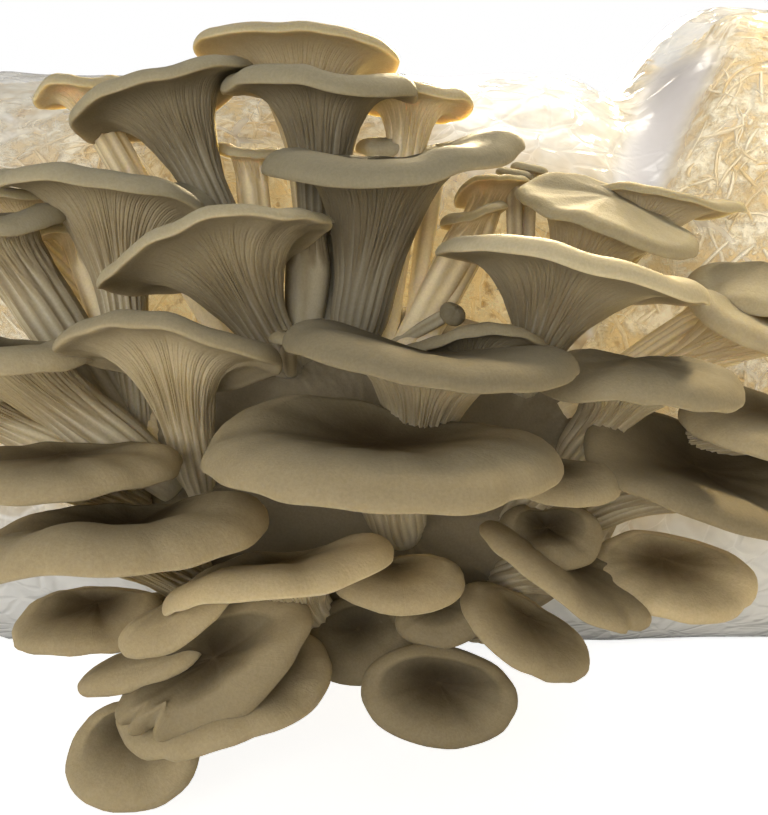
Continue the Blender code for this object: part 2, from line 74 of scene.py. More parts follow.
# name: cap centre, width, depth (mm), (pitch, roll) in degrees, margin, dish, (wave height, waves, turn),
# where the stem leaves the foot (x, z), the stem's radius, and a lobe of the rim (rise, direction, spread)
Mushroom = namedtuple("Mushroom", "name centre width depth pitch roll margin dish wave foot stem lobe",
                      defaults=((0, 0, 1),))
MUSHROOMS = (
    Mushroom("front_big", (0, -263, 118), 100, 81, 6, -2, 11, 7, (1, 2, 330), (6, 83), 10, (6, 235, 40)),
    Mushroom("centre_wavy", (14, -252, 144), 86, 67, 0, -5, 8, 2, (3, 2, 10), (11, 105), 10, (4, 205, 32)),
    Mushroom("lower_left_big", (-80, -258, 93), 89, 72, -1, 7, 11, 6, (1.5, 3, 40), (-69, 59), 9),
    Mushroom("low_left_mid", (-32, -252, 80), 70, 58, -7, 12, 8, 3, (1.5, 3, 10), (-25, 45), 8),
    Mushroom("front_left", (-65, -245, 147), 67, 52, -19, -5, 8, 6, (1.5, 3, 60), (-67, 97), 7),
    Mushroom("low_folded", (-53, -252, 51), 65, 34, 58, 30, 8, 9, (3.0, 3, 230), (-35, 26), 7),
    Mushroom("tongue_left", (-63, -254, 67), 37, 22, 20, 28, 6, 0, (1, 2, 0), (-42, 41), 5),
    Mushroom("mid_left", (-55, -224, 179), 76, 60, -11, 16, 6, 5, (1.5, 3, 100), (-35, 141), 8),
    Mushroom("upper_centre", (3, -208, 211), 89, 67, 12, 5, 8, 6, (3.5, 2, 0), (-12, 145), 10),
    Mushroom("upper_right", (62, -222, 173), 89, 70, 1, -12, 7, 6, (1.5, 3, 0), (51, 134), 8),
    Mushroom("mid_right", (82, -232, 138), 64, 50, 10, -3, 9, 0, (1.5, 3, 90), (68, 106), 7),
    Mushroom("right_shell", (108, -224, 107), 84, 68, 24, -14, 5, 8, (2, 3, 50), (71, 83), 7),
    Mushroom("lower_left_thin", (-106, -240, 110), 84, 66, 3, 3, 8, 3, (1, 3, 20), (-94, 87), 7),
    Mushroom("low_centre", (5, -237, 74), 41, 32, 14, 1, 6, 2, (1, 2, 30), (4, 55), 6),
    Mushroom("right_band", (59, -234, 76), 60, 48, 11, -27, 5, 3, (1.5, 2, 70), (43, 62), 6),
    Mushroom("low_round", (18, -235, 35), 50, 32, 60, -5, 4.5, 6, (1, 3, 40), (15, 17), 6),
    Mushroom("tongue_low", (-77, -245, 49), 41, 18, 25, 20, 5, 0, (1, 2, 90), (-50, 27), 5),
    Mushroom("low_right_slim", (47, -228, 55), 48, 39, 18, -28, 5, 3, (1, 2, 0), (32, 40), 6),
    Mushroom("low_under", (-52, -236, 38), 70, 57, 16, 13, 6, 4, (1.5, 3, 120), (-29, 17), 7),
    Mushroom("low_right_big", (97, -222, 72), 55, 43, 26, -2, 5, 5, (1, 3, 0), (81, 57), 6),
    Mushroom("right_small", (56, -237, 107), 38, 30, 15, -5, 6, 2, (1, 2, 0), (46, 84), 6),
    Mushroom("dark_right", (54, -230, 87), 34, 27, 43, 3, 5, 4, (1.5, 3, 90), (50, 76), 6),
    Mushroom("low_left", (-99, -226, 58), 48, 39, 16, 4, 5, 4, (1, 3, 60), (-76, 35), 6),
    Mushroom("lowest", (-79, -246, 21), 42, 35, 43, 2, 5, 3, (1, 3, 0), (-54, 8), 6),
    Mushroom("top_centre", (-24, -178, 244), 72, 54, 9, -3, 8, 6, (1.5, 3, 10), (-29, 179), 8),
    Mushroom("top_left", (-83, -175, 241), 70, 56, -2, 20, 7, 6, (1.5, 2, 60), (-55, 174), 7),
    Mushroom("upper_left", (-99, -195, 205), 81, 61, 5, -4, 7, 6, (1.5, 3, 80), (-100, 104), 7, (-9, 0, 25)),
    Mushroom("edge_left_mid", (-125, -230, 146), 65, 51, 3, 0, 8, 6, (1.5, 3, 0), (-80, 99), 10),
    Mushroom("edge_left_upper", (-139, -202, 190), 55, 43, 11, 8, 7, 5, (1, 3, 0), (-106, 108), 10),
    Mushroom("edge_right", (135, -210, 121), 64, 50, 24, -8, 6, 3, (1.5, 3, 30), (95, 98), 6),
    Mushroom("edge_right_wavy", (140, -190, 155), 63, 51, 24, -8, 6, 2, (2, 3, 0), (95, 124), 6,
             (10, 180, 35)),
    Mushroom("edge_right_upper", (146, -178, 169), 61, 40, 30, -4, 6, -3, (1.5, 3, 60), (92, 135), 6),
    Mushroom("centre_cup", (29, -220, 149), 51, 35, -6, 3, 5, 6, (2.5, 2, 200), (24, 126), 6),
    Mushroom("back_right_folded", (83, -182, 195), 70, 56, 20, -17, 5, -4, (1, 3, 0), (68, 150), 6,
             (7, 260, 55)),
    Mushroom("top_back", (-34, -158, 261), 79, 59, -7, -3, 6, 6, (1.5, 2, 0), (-31, 183), 7),
    Mushroom("top_right", (11, -162, 243), 46, 34, -6, -3, 6, 5, (1, 3, 0), (4, 183), 6),
    Mushroom("top_left_back", (-118, -160, 247), 36, 27, -6, 7, 6, 5, (1.5, 3, 0), (-93, 178), 6),
    Mushroom("back_right", (108, -160, 205), 68, 32, 0, -7, 4, 1, (1, 3, 0), (81, 157), 6),
    Mushroom("back_left", (-145, -175, 203), 57, 41, -2, 1, 5, 5, (1, 3, 0), (-114, 154), 6),
    Mushroom("edge_left_back", (-153, -202, 130), 50, 38, -9, 2, 7, 5, (1, 3, 0), (-110, 98), 6),
    Mushroom("arch_left", (-116, -178, 191), 27, 22, 0, 7, 5, 4, (1, 3, 0), (-112, 118), 7),
    Mushroom("hidden_funnel", (-53, -162, 223), 29, 23, 6, -6, 4, 4, (1, 2, 0), (-56, 169), 6),
    Mushroom("slim_right", (34, -175, 197), 26, 21, -3, 16, 4, 3, (1, 2, 0), (6, 144), 7),
    Mushroom("arch_right", (42, -164, 208), 30, 24, -20, 10, 4, 4, (1, 3, 0), (12, 146), 7),
    Mushroom("mid_smooth", (-26, -200, 190), 24, 20, -7, 7, 4, 3, (0.5, 2, 0), (-30, 146), 8),
    Mushroom("small_round", (-1, -166, 225), 19, 16, 28, 2, 4, 0, (0.5, 2, 0), (-2, 176), 4),
    Mushroom("small_round_right", (21, -164, 223), 21, 18, 25, 11, 4, 0, (0.5, 2, 0), (15, 172), 4),
    Mushroom("small_back_right", (51, -162, 215), 14, 12, 5, -10, 3, 1, (0.3, 2, 0), (64, 152), 3),
    Mushroom("small_back_far", (58, -156, 218), 15, 14, 5, -12, 3, 1, (0.3, 2, 0), (74, 156), 3),
    Mushroom("bud", (-31, -232, 151), 11, 10, 10, 0, 3, 0, (0.3, 2, 0), (-34, 138), 3),
    Mushroom("button", (25, -196, 160), 9, 9, 48, -30, 4, 0, (0.3, 2, 0), (-2, 145), 2.5),
    Mushroom("low_web", (20, -222, 58), 32, 22, 48, 12, 5, 2, (0.5, 2, 0), (17, 40), 5),
    Mushroom("low_behind", (-9, -214, 47), 38, 31, 53, 2, 5, 3, (0.5, 2, 0), (-11, 19), 6),
)

# painted light and shade: how much lighter or darker each mushroom's cap and gills are painted, where they
# differ from the rest
PAINTED_SHADES = {
    "front_big": (0.8, 1.0), "centre_wavy": (0.58, 1.05), "mid_right": (0.72, 0.9),
    "right_shell": (0.58, 0.8), "low_round": (0.66, 0.8), "dark_right": (0.62, 0.8),
    "low_folded": (0.74, 0.8), "low_behind": (0.6, 0.7), "low_web": (0.6, 0.7),
    "right_band": (0.85, 0.85), "low_right_slim": (0.88, 0.85), "right_small": (0.85, 0.9),
    "low_right_big": (1.3, 1.0), "lowest": (1.08, 1.0), "low_left_mid": (1.2, 1.0),
    "upper_centre": (0.7, 0.4), "top_centre": (0.8, 0.41), "top_left": (0.88, 0.47),
    "top_back": (1.0, 0.75), "mid_left": (1.0, 0.76), "front_left": (0.76, 1.05),
    "mid_smooth": (0.75, 0.7), "upper_right": (1.25, 0.72), "back_right": (0.85, 0.64),
    "back_right_folded": (0.85, 0.68), "edge_left_upper": (0.85, 0.75), "button": (0.6, 0.7),
    "centre_cup": (0.8, 0.8), "upper_left": (0.9, 0.75), "lower_left_big": (0.9, 1.0),
    "lower_left_thin": (0.9, 1.0),
}

# splits in the rim: direction, spread (degrees) and depth as a share of the cap
NOTCHES = {
    "low_folded": ((146, 5, 0.22), (165, 4, 0.12)),
    "lower_left_big": ((60, 5, 0.05), (118, 4, 0.04)),
    "front_big": ((48, 5, 0.04), (128, 6, 0.03)),
    "right_band": ((40, 6, 0.10),),
    "low_under": ((70, 7, 0.05), (120, 6, 0.05)),
    "low_left_mid": ((70, 5, 0.04),),
    "low_right_big": ((100, 8, 0.05), (40, 6, 0.04)),
    "edge_right_wavy": ((110, 9, 0.10),),
    "upper_left": ((150, 5, 0.05),),
    "mid_right": ((115, 6, 0.04),),
}

# the far caps, thin enough for the sun behind to shine through: more light enters their flesh, and they get
# a painted golden glow
THIN = ("top_back", "top_right", "top_left_back", "back_right", "back_right_folded", "back_left",
        "arch_left", "arch_right", "slim_right", "hidden_funnel", "edge_right_upper", "edge_right_wavy",
        "small_round", "small_round_right")


# ---------------------------------------------------------------- shader sums

class Socket:
    """A node's output that can be written in Python sums."""

    def __init__(self, shader, output):
        self.shader = shader
        self.output = output

    def sum(self, operation, *values):
        return self.shader.node("ShaderNodeMath", {"operation": operation}, dict(enumerate(values)))

    def __add__(self, other):
        return self.sum("ADD", self, other)

    def __radd__(self, other):
        return self.sum("ADD", other, self)

    def __sub__(self, other):
        return self.sum("SUBTRACT", self, other)

    def __rsub__(self, other):
        return self.sum("SUBTRACT", other, self)

    def __mul__(self, other):
        return self.sum("MULTIPLY", self, other)

    def __rmul__(self, other):
        return self.sum("MULTIPLY", other, self)

    def __truediv__(self, other):
        return self.sum("DIVIDE", self, other)

    def __pow__(self, other):
        return self.sum("POWER", self, other)


class Shader:
    """One material under construction."""

    def __init__(self, name):
        self.material = bpy.data.materials.new(name)
        self.material.use_nodes = True
        self.tree = self.material.node_tree
        self.tree.nodes.clear()

    def node(self, kind, settings=None, inputs=None, output=0):
        """Add a node, with its settings first and then the values or links of its sockets."""
        node = self.tree.nodes.new(kind)
        for key, value in (settings or {}).items():
            if key == "stops":
                ramp = node.color_ramp.elements
                while len(ramp) < len(value):
                    ramp.new(1.0)
                for element, (place, colour) in zip(ramp, value):
                    element.position = place
                    element.color = (*colour, 1.0)
            else:
                setattr(node, key, value)
        for key, value in (inputs or {}).items():
            if isinstance(value, Socket):
                self.tree.links.new(value.output, node.inputs[key])
            else:
                node.inputs[key].default_value = value
        return Socket(self, node.outputs[output]) if node.outputs else None

    def mix(self, factor, first, second, blend="MIX"):
        colours = {key: (*value, 1.0) if isinstance(value, tuple) and len(value) == 3 else value
                   for key, value in ((6, first), (7, second))}
        return self.node("ShaderNodeMix", {"data_type": "RGBA", "blend_type": blend},
                         {0: factor, **colours}, output=2)

    def multiply(self, first, second, amount=1.0):
        return self.mix(amount, first, second, "MULTIPLY")

    def darken(self, colour, amount, light, tint):
        """Tint a colour where light is 0, and leave it where light is 1."""
        return self.multiply(colour, self.mix(light, tint, WHITE), amount)

    def ramp(self, value, low, high):
        """0 up to low, 1 from high, and smooth between."""
        return self.node("ShaderNodeMapRange", {"interpolation_type": "SMOOTHSTEP"},
                         {"Value": value, "From Min": low, "From Max": high})

    def noise(self, scale, detail=3.0, roughness=0.5, stretch=(1, 1, 1)):
        place = self.node("ShaderNodeTexCoord", output=3)
        if stretch != (1, 1, 1):
            place = self.node("ShaderNodeMapping", None, {"Vector": place, "Scale": stretch})
        return self.node("ShaderNodeTexNoise", None,
                         {"Vector": place, "Scale": scale, "Detail": detail, "Roughness": roughness})

    def attribute(self, name):
        return self.node("ShaderNodeAttribute", {"attribute_name": name}, output=2)

    def bump(self, height, strength, distance):
        return self.node("ShaderNodeBump", None,
                         {"Height": height, "Strength": strength, "Distance": distance})

    def finish(self, surface):
        self.node("ShaderNodeOutputMaterial", None, {"Surface": surface})
        return self.material


# painted light: the caps are painted browner below, as in shade, and greyer above, as under the sky light
LOW_LIGHT, HIGH_LIGHT = 80 * MM, 210 * MM
LOW_SHADE_TINT, HIGH_SKY_TINT = (1.0, 0.95, 0.88), (0.90, 0.94, 1.0)
# painted glow: the golden light that the thin caps give off
SUN_THROUGH_FLESH = (1.0, 0.74, 0.34)
FLESH_SCATTER = (1.0, 0.84, 0.42)
FLESH_NAME = "oyster mushroom flesh"


def flesh_material(name, settings, glow, shine=0.0):
    """Damp mushroom flesh: grey-beige caps, paler gills and stems, with light passing through, painted
    shade, painted highlights on the ribs, and on thin caps a painted glow.
    """
    s = Shader(name)
    under, reach, streak, hollow = [s.attribute(key) for key in ("under", "reach", "streak", "hollow")]
    fibre = s.node("ShaderNodeAttribute", {"attribute_name": "fibre"}, output=1)
    drawn_out = s.node("ShaderNodeMapping", None, {"Vector": fibre, "Scale": (1, 1, 0.12)})
    fibres = s.node("ShaderNodeTexNoise", None, {"Vector": drawn_out, "Scale": 42.0, "Detail": 5.0})
    patches = s.noise(34.0, 5.0, 0.6)
    spots = s.noise(130.0, 4.0, 0.65)
    grain = s.noise(1100.0, 2.0, 0.7)

    cap = s.mix(s.ramp(patches, 0.35, 0.65), tuple(settings.cap_dark), tuple(settings.cap_colour))
    cap = s.mix(s.ramp(reach, 0.5, 1.0) * 0.7, cap, tuple(settings.edge_colour))
    cap = s.mix(s.ramp(spots, 0.35, 0.7) * 0.3, cap, tuple(settings.edge_colour))
    # painted shade: the cap darkens into its hollow and toward its far side, where reach is low
    cap = s.mix((1 - s.ramp(reach, 0.2, 0.85)) * 0.85, cap, tuple(settings.hollow_shade_colour))
    cap = s.darken(cap, 0.07, s.ramp(fibres, 0.3, 0.7), (0.6, 0.55, 0.46))
    # painted light: greyer high up, browner low down
    place = s.node("ShaderNodeTexCoord", output=3)
    height = s.node("ShaderNodeSeparateXYZ", None, {0: place}, output=2)
    cap = s.multiply(cap, s.mix(s.ramp(height, LOW_LIGHT, HIGH_LIGHT), LOW_SHADE_TINT, HIGH_SKY_TINT))

    gills = s.mix(s.ramp(reach, 0.05, 0.9), tuple(settings.stem_colour), tuple(settings.gill_colour))
    # painted shade: darker down in the valleys between the gills
    gills = s.mix(s.ramp(hollow, 0.05, 0.6) * 0.55, gills, tuple(settings.gill_shade))
    # painted highlight: the tops of the ribs near the stem are painted pale, as if catching light
    ridge = (1 - s.ramp(hollow, 0.0, 0.25)) * (1 - s.ramp(reach, 0.35, 0.85))
    gills = s.mix(ridge * 0.5, gills, tuple(settings.rib_highlight_colour))
    gills = s.darken(gills, 0.3, streak, (0.70, 0.65, 0.56))

    # painted light and shade: each mushroom lighter or darker, the caps darker inward and on their far side,
    # the underside darker inside the rim
    colour = s.multiply(s.mix(under, cap, gills), s.attribute("shade"))
    colour = s.darken(colour, 0.25, s.ramp(grain, 0.3, 0.7), (0.6, 0.57, 0.5))
    relief = s.noise(190.0, 3.0, 0.6) * 0.45 + grain * 0.16 + fibres * (1 - under) * 0.1
    shader = s.node("ShaderNodeBsdfPrincipled", {"subsurface_method": "RANDOM_WALK"}, {
        "Base Color": colour,
        "Roughness": 0.56 + patches * 0.2,
        "IOR": 1.4,
        "Subsurface Weight": glow,
        "Subsurface Radius": FLESH_SCATTER,
        "Subsurface Scale": settings.glow_depth * glow / settings.glow,
        "Specular IOR Level": 0.18,
        # painted glow: golden light given off by the thin caps, most from their undersides
        "Emission Color": s.mix(0.4 + under * 0.6, BLACK, s.multiply(colour, SUN_THROUGH_FLESH)),
        "Emission Strength": shine,
        "Normal": s.bump(relief, 0.55, 0.0012),
    })
    return s.finish(shader)


def straw_material(settings):
    """Split straw, with a painted glow: brighter and golden where the sun behind the bag comes through."""
    s = Shader("straw")
    fibre = s.noise(900.0, 2.0, 0.6)
    colour = s.mix(s.attribute("shade"), tuple(settings.straw_dark), tuple(settings.straw_colour))
    colour = s.darken(colour, 0.4, fibre, (0.62, 0.55, 0.42))
    # painted glow: dim where the straw is in shade, golden where the sunlit mask is high
    glow_in_shade = s.multiply(colour, (0.34, 0.295, 0.22))
    golden = s.mix(fibre, (0.75, 0.48, 0.16), (1.0, 0.76, 0.36))
    shader = s.node("ShaderNodeBsdfPrincipled", None, {
        "Base Color": colour,
        "Roughness": 0.5 + fibre * 0.25,
        "Specular IOR Level": 0.4,
        "Emission Color": s.mix(s.attribute("sunlit"), glow_in_shade, golden),
        "Emission Strength": settings.straw_glow,
        "Normal": s.bump(fibre, 0.4, 0.0004),
    })
    return s.finish(shader)


def core_material(settings):
    """Packed chopped straw below the strands, lumpy, with a painted glow where the sun comes through, broken
    by brown flecks.
    """
    s = Shader("packed straw core")
    lumps = s.ramp(s.noise(95.0, 5.0, 0.7), 0.38, 0.6)
    chaff = s.noise(420.0, 3.0, 0.7)
    flecks = s.noise(170.0, 3.0, 0.6)
    colour = s.mix(lumps, tuple(settings.straw_dark), tuple(settings.core_colour))
    colour = s.darken(colour, 0.5, chaff, (0.45, 0.36, 0.22))
    # painted glow: dim in shade, golden with brown flecks where the sunlit mask is high
    glow_in_shade = s.mix(lumps, (0.36, 0.27, 0.14), (0.68, 0.64, 0.52))
    golden = s.mix(s.ramp(flecks, 0.34, 0.46), (0.40, 0.22, 0.05), (1.0, 0.74, 0.33))
    shader = s.node("ShaderNodeBsdfPrincipled", None, {
        "Base Color": colour,
        "Roughness": 0.9,
        "Emission Color": s.mix(s.attribute("sunlit"), glow_in_shade, golden),
        "Emission Strength": settings.core_glow,
        "Normal": s.bump(lumps * 0.7 + chaff * 0.3, 0.8, 0.004),
    })
    return s.finish(shader)


def crack_distance(shader, place, scale):
    """Distance from the lines of a cracked pattern."""
    return shader.node("ShaderNodeTexVoronoi", {"feature": "DISTANCE_TO_EDGE"},
                       {"Vector": place, "Scale": scale})


def film_material(settings):
    """Thin clear film: see-through, whitish along its creases, with a hard gloss, a painted glow of
    daylight, and painted whiteness low down.
    """
    s = Shader("clear film")
    gathered, milky, fog, glare = [s.attribute(key) for key in ("crease", "milky", "fog", "glare")]
    place = s.node("ShaderNodeTexCoord", output=3)
    warp = s.node("ShaderNodeTexNoise", None, {"Vector": place, "Scale": 9.0, "Detail": 3.0}, output=1)
    bent = s.node("ShaderNodeVectorMath", {"operation": "MULTIPLY_ADD"},
                  {0: warp, 1: (0.09, 0.09, 0.09), 2: place})
    slanted = s.node("ShaderNodeMapping", None,
                     {"Vector": bent, "Rotation": (0.4, 0.7, 0.3), "Scale": (1, 0.35, 1)})
    wide = crack_distance(s, slanted, 26.0)
    fine = crack_distance(s, bent, 58.0)
    haze = s.noise(22.0, 4.0, 0.6)
    where = s.ramp(s.noise(16.0, 2.0), 0.42, 0.62)
    broken = s.ramp(s.noise(31.0, 2.0), 0.47, 0.6)
    wide_lines = (1 - s.ramp(wide, 0.0, 0.05)) * where
    fine_lines = (1 - s.ramp(fine, 0.0, 0.03)) * (1 - where) * 0.4
    lines = (wide_lines + fine_lines) * broken
    rim = s.node("ShaderNodeLayerWeight", None, {"Blend": 0.3}, output=1)
    # painted light: the film is made whiter low down and round its painted glow
    cover = (settings.film_cover + gathered * 0.35 + lines * 0.36 + rim * 0.5
             + s.ramp(haze, 0.5, 0.85) * 0.15 + milky * 0.8 + fog * 0.75)
    relief = s.ramp(wide, 0.0, 0.2) * broken * 0.5 + s.ramp(fine, 0.0, 0.15) * 0.2 + haze * 1.2
    plastic = s.node("ShaderNodeBsdfPrincipled", None, {
        "Base Color": s.mix(milky, tuple(settings.film_colour), tuple(settings.fold_colour)),
        "Roughness": 0.08 + haze * 0.14,
        "Specular IOR Level": 0.8,
        "Coat Weight": 0.6,
        "Coat Roughness": 0.05,
        # painted glow of daylight
        "Emission Color": s.mix(glare, BLACK, (1.0, 0.98, 0.93)),
        "Emission Strength": settings.film_glare,
        "Normal": s.bump(relief * (1 - milky * 0.85), 0.8, 0.003),
    })
    clear = s.node("ShaderNodeBsdfTransparent", None, {"Color": (0.97, 0.97, 0.96, 1.0)})
    return s.finish(s.node("ShaderNodeMixShader", None, {0: s.ramp(cover, 0.0, 1.0), 1: clear, 2: plastic}))


def twine_material(settings):
    """Fuzzy brown jute."""
    s = Shader("twine")
    fuzz = s.noise(700.0, 4.0, 0.7)
    colour = s.mix(fuzz, (0.26, 0.19, 0.10), tuple(settings.twine_colour))
    shader = s.node("ShaderNodeBsdfPrincipled", None, {
        "Base Color": colour, "Roughness": 0.85 + fuzz * 0.1, "Normal": s.bump(fuzz, 0.7, 0.0006)})
    return s.finish(shader)


def floor_material(settings):
    """A matt pale floor that looks a little brighter to the camera than the light on it makes it."""
    s = Shader("pale floor")
    matt = s.node("ShaderNodeBsdfPrincipled", None, {
        "Base Color": (*settings.floor_colour, 1.0), "Roughness": 0.6 + s.noise(3.0) * 0.1})
    bright = s.node("ShaderNodeEmission", None, {"Color": (*WHITE, 1.0), "Strength": settings.floor_light})
    both = s.node("ShaderNodeAddShader", None, {0: matt, 1: bright})
    seen = s.node("ShaderNodeLightPath", output=0)
    return s.finish(s.node("ShaderNodeMixShader", None, {0: seen, 1: matt, 2: both}))


# ---------------------------------------------------------------- meshes

def mesh_object(name, points, faces, material, attributes=None, sharp=None):
    """Make one mesh object, with per-point values for its material."""
    mesh = bpy.data.meshes.new(name)
    mesh.from_pydata(np.asarray(points).tolist(), [], faces)
    mesh.shade_smooth()
    for key, values in (attributes or {}).items():
        values = np.asarray(values, np.float32)
        vector = values.ndim == 2
        layer = mesh.attributes.new(key, "FLOAT_VECTOR" if vector else "FLOAT", "POINT")
        layer.data.foreach_set("vector" if vector else "value", values.reshape(-1))
    if sharp is not None:
        ends = np.empty(len(mesh.edges) * 2, np.int32)
        mesh.edges.foreach_get("vertices", ends)
        layer = mesh.attributes.new("sharp_edge", "BOOLEAN", "EDGE")
        layer.data.foreach_set("value", sharp(ends.reshape(-1, 2)))
    mesh.materials.append(material)
    obj = bpy.data.objects.new(name, mesh)
    bpy.context.scene.collection.objects.link(obj)
    return obj


def stand_for(obj, slot, *nodes):
    """Let a piece ride on the body in place of its solids."""
    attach(obj, BODY)
    if nodes:
        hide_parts(*nodes)
    return obj


def grid_faces(rows, columns, start=0):
    """Quads between neighbouring rings of points."""
    return [(start + r * columns + i, start + r * columns + (i + 1) % columns,
             start + (r + 1) * columns + (i + 1) % columns, start + (r + 1) * columns + i)
            for r in range(rows - 1) for i in range(columns)]


def fan_faces(first, count, tip, flipped=False):
    """Triangles from a ring of points to its tip."""
    fan = [(first + i, first + (i + 1) % count, tip) for i in range(count)]
    return [(b, a, c) for a, b, c in fan] if flipped else fan


def smooth_step(value, start=0.0, end=1.0):
    t = np.clip((value - start) / (end - start), 0.0, 1.0)
    return t * t * (3 - 2 * t)


def unit(vectors):
    return vectors / np.linalg.norm(vectors, axis=-1, keepdims=True)


def seeded(name):
    """Random numbers that are the same on each run."""
    return np.random.default_rng(zlib.crc32(name.encode()))


# ---------------------------------------------------------------- mushrooms

def stem_start(x, z):
    """Where a stem that leaves the foot at (x, z) starts on the foot's front."""
    across = (x * MM - FOOT_CENTRE[0]) / FOOT_RADII[0]
    up = (z * MM - FOOT_CENTRE[2]) / FOOT_RADII[2]
    shrink = min(1.0, STEM_REACH / max(math.hypot(across, up), 1e-6))
    across *= shrink
    up *= shrink
    depth = FOOT_RADII[1] * math.sqrt(1 - across * across - up * up)
    return FOOT_CENTRE + np.array((across * FOOT_RADII[0], -depth, up * FOOT_RADII[2]))


# how far the rim swings out and lifts, and the gills wander round the stem; small caps lift less
RIM_SWING = 0.030
RIM_LIFT = 1.7 * MM
GILL_WANDER = 0.05
LIVELY_HALF_WIDTH = 35 * MM
# how far the stem's lower end goes into the foot
STEM_ROOT = 4 * MM


def waves(random, numbers, lowest, size):
    """Waves round a ring, the quicker the lower: how many there are, their height and their start."""
    return [(k, random.uniform(lowest, 1.0) * size / k, random.uniform(0, 6.28)) for k in numbers]


def degrees_off(angles, direction):
    """How far each angle is from a direction, in degrees."""
    return (np.degrees(angles) - direction + 180) % 360 - 180


class Growth:
    """Where one mushroom's axes, stem and rim lie."""

    def __init__(self, shape):
        turn = Euler((math.radians(shape.pitch), math.radians(-shape.roll), 0)).to_matrix()
        self.right, self.front, self.up = [
            np.array(turn @ Vector(axis)) for axis in ((1, 0, 0), (0, -1, 0), (0, 0, 1))]
        self.shape = shape
        self.centre = np.array(shape.centre) * MM
        self.margin = shape.margin * MM
        self.dish = shape.dish * MM
        self.half_width = shape.width * MM / 2
        self.half_depth = shape.depth * MM / 2
        self.radius = shape.stem * MM
        self.foot = stem_start(*shape.foot)
        lean = max(0.0, unit(self.centre - self.foot) @ self.up)
        sideways = 1 - lean
        self.heart = self.centre - self.front * (
            2 * self.half_depth * (HEART_BACK + HEART_BACK_SIDEWAYS * sideways))
        seat = self.heart - self.up * (self.radius * STEM_DROP_SIDEWAYS * sideways)
        self.along = unit(seat - self.foot)
        self.across = unit(self.right - self.along * (self.right @ self.along))
        self.toward = np.cross(self.across, self.along)
        length = np.linalg.norm(seat - self.foot)
        self.neck = seat - self.along * min((1 - NECK_SHARE) * length, FLARE_LENGTH * 2 * self.half_width)
        self.random = seeded(shape.name)
        self.edge = waves(self.random, range(2, 19), 0.2, RIM_SWING)
        self.lift = waves(self.random, range(3, 17), 0.2, RIM_LIFT)
        self.wander = waves(self.random, (2, 3, 5, 8), -1, GILL_WANDER)

    def spoke(self, angles, notched=True):
        """From the cap's centre to its rim, along the cap."""
        size = 1 + sum(a * np.cos(k * angles + turn) for k, a, turn in self.edge)
        for direction, spread, cut in NOTCHES.get(self.shape.name, ()) if notched else ():
            size = size - cut * np.exp(-(degrees_off(angles, direction) / spread) ** 2)
        return (np.outer(np.cos(angles) * size * self.half_width, self.right)
                + np.outer(np.sin(angles) * size * self.half_depth, self.front))

    def ripple(self, angles):
        """How high the rim stands at each angle."""
        height, number, turn = self.shape.wave
        rise, direction, spread = self.shape.lobe
        lobe = rise * np.exp(-(degrees_off(angles, direction) / spread) ** 2)
        broad = height * np.cos(number * angles + math.radians(turn)) + lobe
        small = min(1.0, self.half_width / LIVELY_HALF_WIDTH)
        return broad * MM + small * sum(a * np.cos(k * angles + start) for k, a, start in self.lift)

    def rim(self, angles, notched=True):
        """Points of the rim, and the way out from the centre at each."""
        spoke = self.spoke(angles, notched)
        return self.centre + spoke + np.outer(self.ripple(angles), self.up), unit(spoke)

    def lip_rows(self, angles, section):
        """Rows of points along the rolled edge, at steps out and up from the rim in margins."""
        rim, out = self.rim(angles)
        return [rim + out * (a * self.margin) + self.up * (b * self.margin) for a, b in section]

    def stem_ring(self, angles, share):
        """A ring round the stem, from its foot (0) to the neck where the gills start (1)."""
        radius = self.radius * (FOOT_TAPER + (1 - FOOT_TAPER) * smooth_step(share))
        middle = (self.foot - self.along * STEM_ROOT) * (1 - share) + self.neck * share
        ring = np.outer(np.cos(angles), self.across) + np.outer(np.sin(angles), self.toward)
        return middle + radius * ring

    def gill_row(self, angles, t):
        """A row of points at t of the way along the gills, from the neck to the edge."""
        rim, out = self.rim(angles)
        start = self.stem_ring(angles, 1.0)
        end = rim + out * (GILL_END[0] * self.margin) + self.up * (GILL_END[1] * self.margin)
        reach = np.linalg.norm(end - start, axis=1, keepdims=True)
        leaving = start + self.along * (GILL_LEAVES_STEM * reach)
        flat = np.minimum(GILL_MEETS_RIM * reach,
                          GILL_FLAT_PART * np.linalg.norm(rim - self.centre, axis=1, keepdims=True))
        meeting = end - out * flat
        s = 1 - t
        return start * s ** 3 + leaving * (3 * s * s * t) + meeting * (3 * s * t * t) + end * t ** 3


# out from the rim and up, in margins: where the gills end, and the inside and outside of the rolled edge
GILL_END = (-0.85, -0.28)
INSIDE_LIP = ((-0.60, -0.33), (-0.36, -0.39), (-0.14, -0.46), (0.02, -0.49))
LIP = ((0.09, -0.46), (0.12, -0.37), (0.10, -0.22), (0.02, -0.04), (-0.12, 0.14), (-0.32, 0.29),
       (-0.58, 0.40), (-0.90, 0.47))
# from the lip the cap's top swells a little, in margins, and sinks to its heart over these shares
CROWN = 0.07
TOP_SHARES = (0.05, 0.11, 0.18, 0.27, 0.37, 0.48, 0.59, 0.70, 0.82, 0.93)

# a broad rib splits into eight gills on its way out: 16 columns, a ridge and a valley for each gill
RIB = 16
GILLS_OF_RIB = 8
FEWEST_RIBS, MOST_RIBS = 5, 30
FULL_GILLS_HALF_WIDTH = 26 * MM

# rows of points up the stem, out along the gills, and how far out the edge's inside counts
STEM_ROWS, GILL_ROWS = 4, 14
EDGE_REACH = 1.2
# the top has one point for four below, or for two on a small or deeply notched cap
SMALL_RING = 160
DEEP_CUT = 0.1


def rib_count(shape, settings):
    """Broad ribs round the stem of a mushroom."""
    wanted = round(math.pi * shape.width * MM / (GILLS_OF_RIB * settings.gill_spacing))
    return max(FEWEST_RIBS, min(MOST_RIBS, wanted))


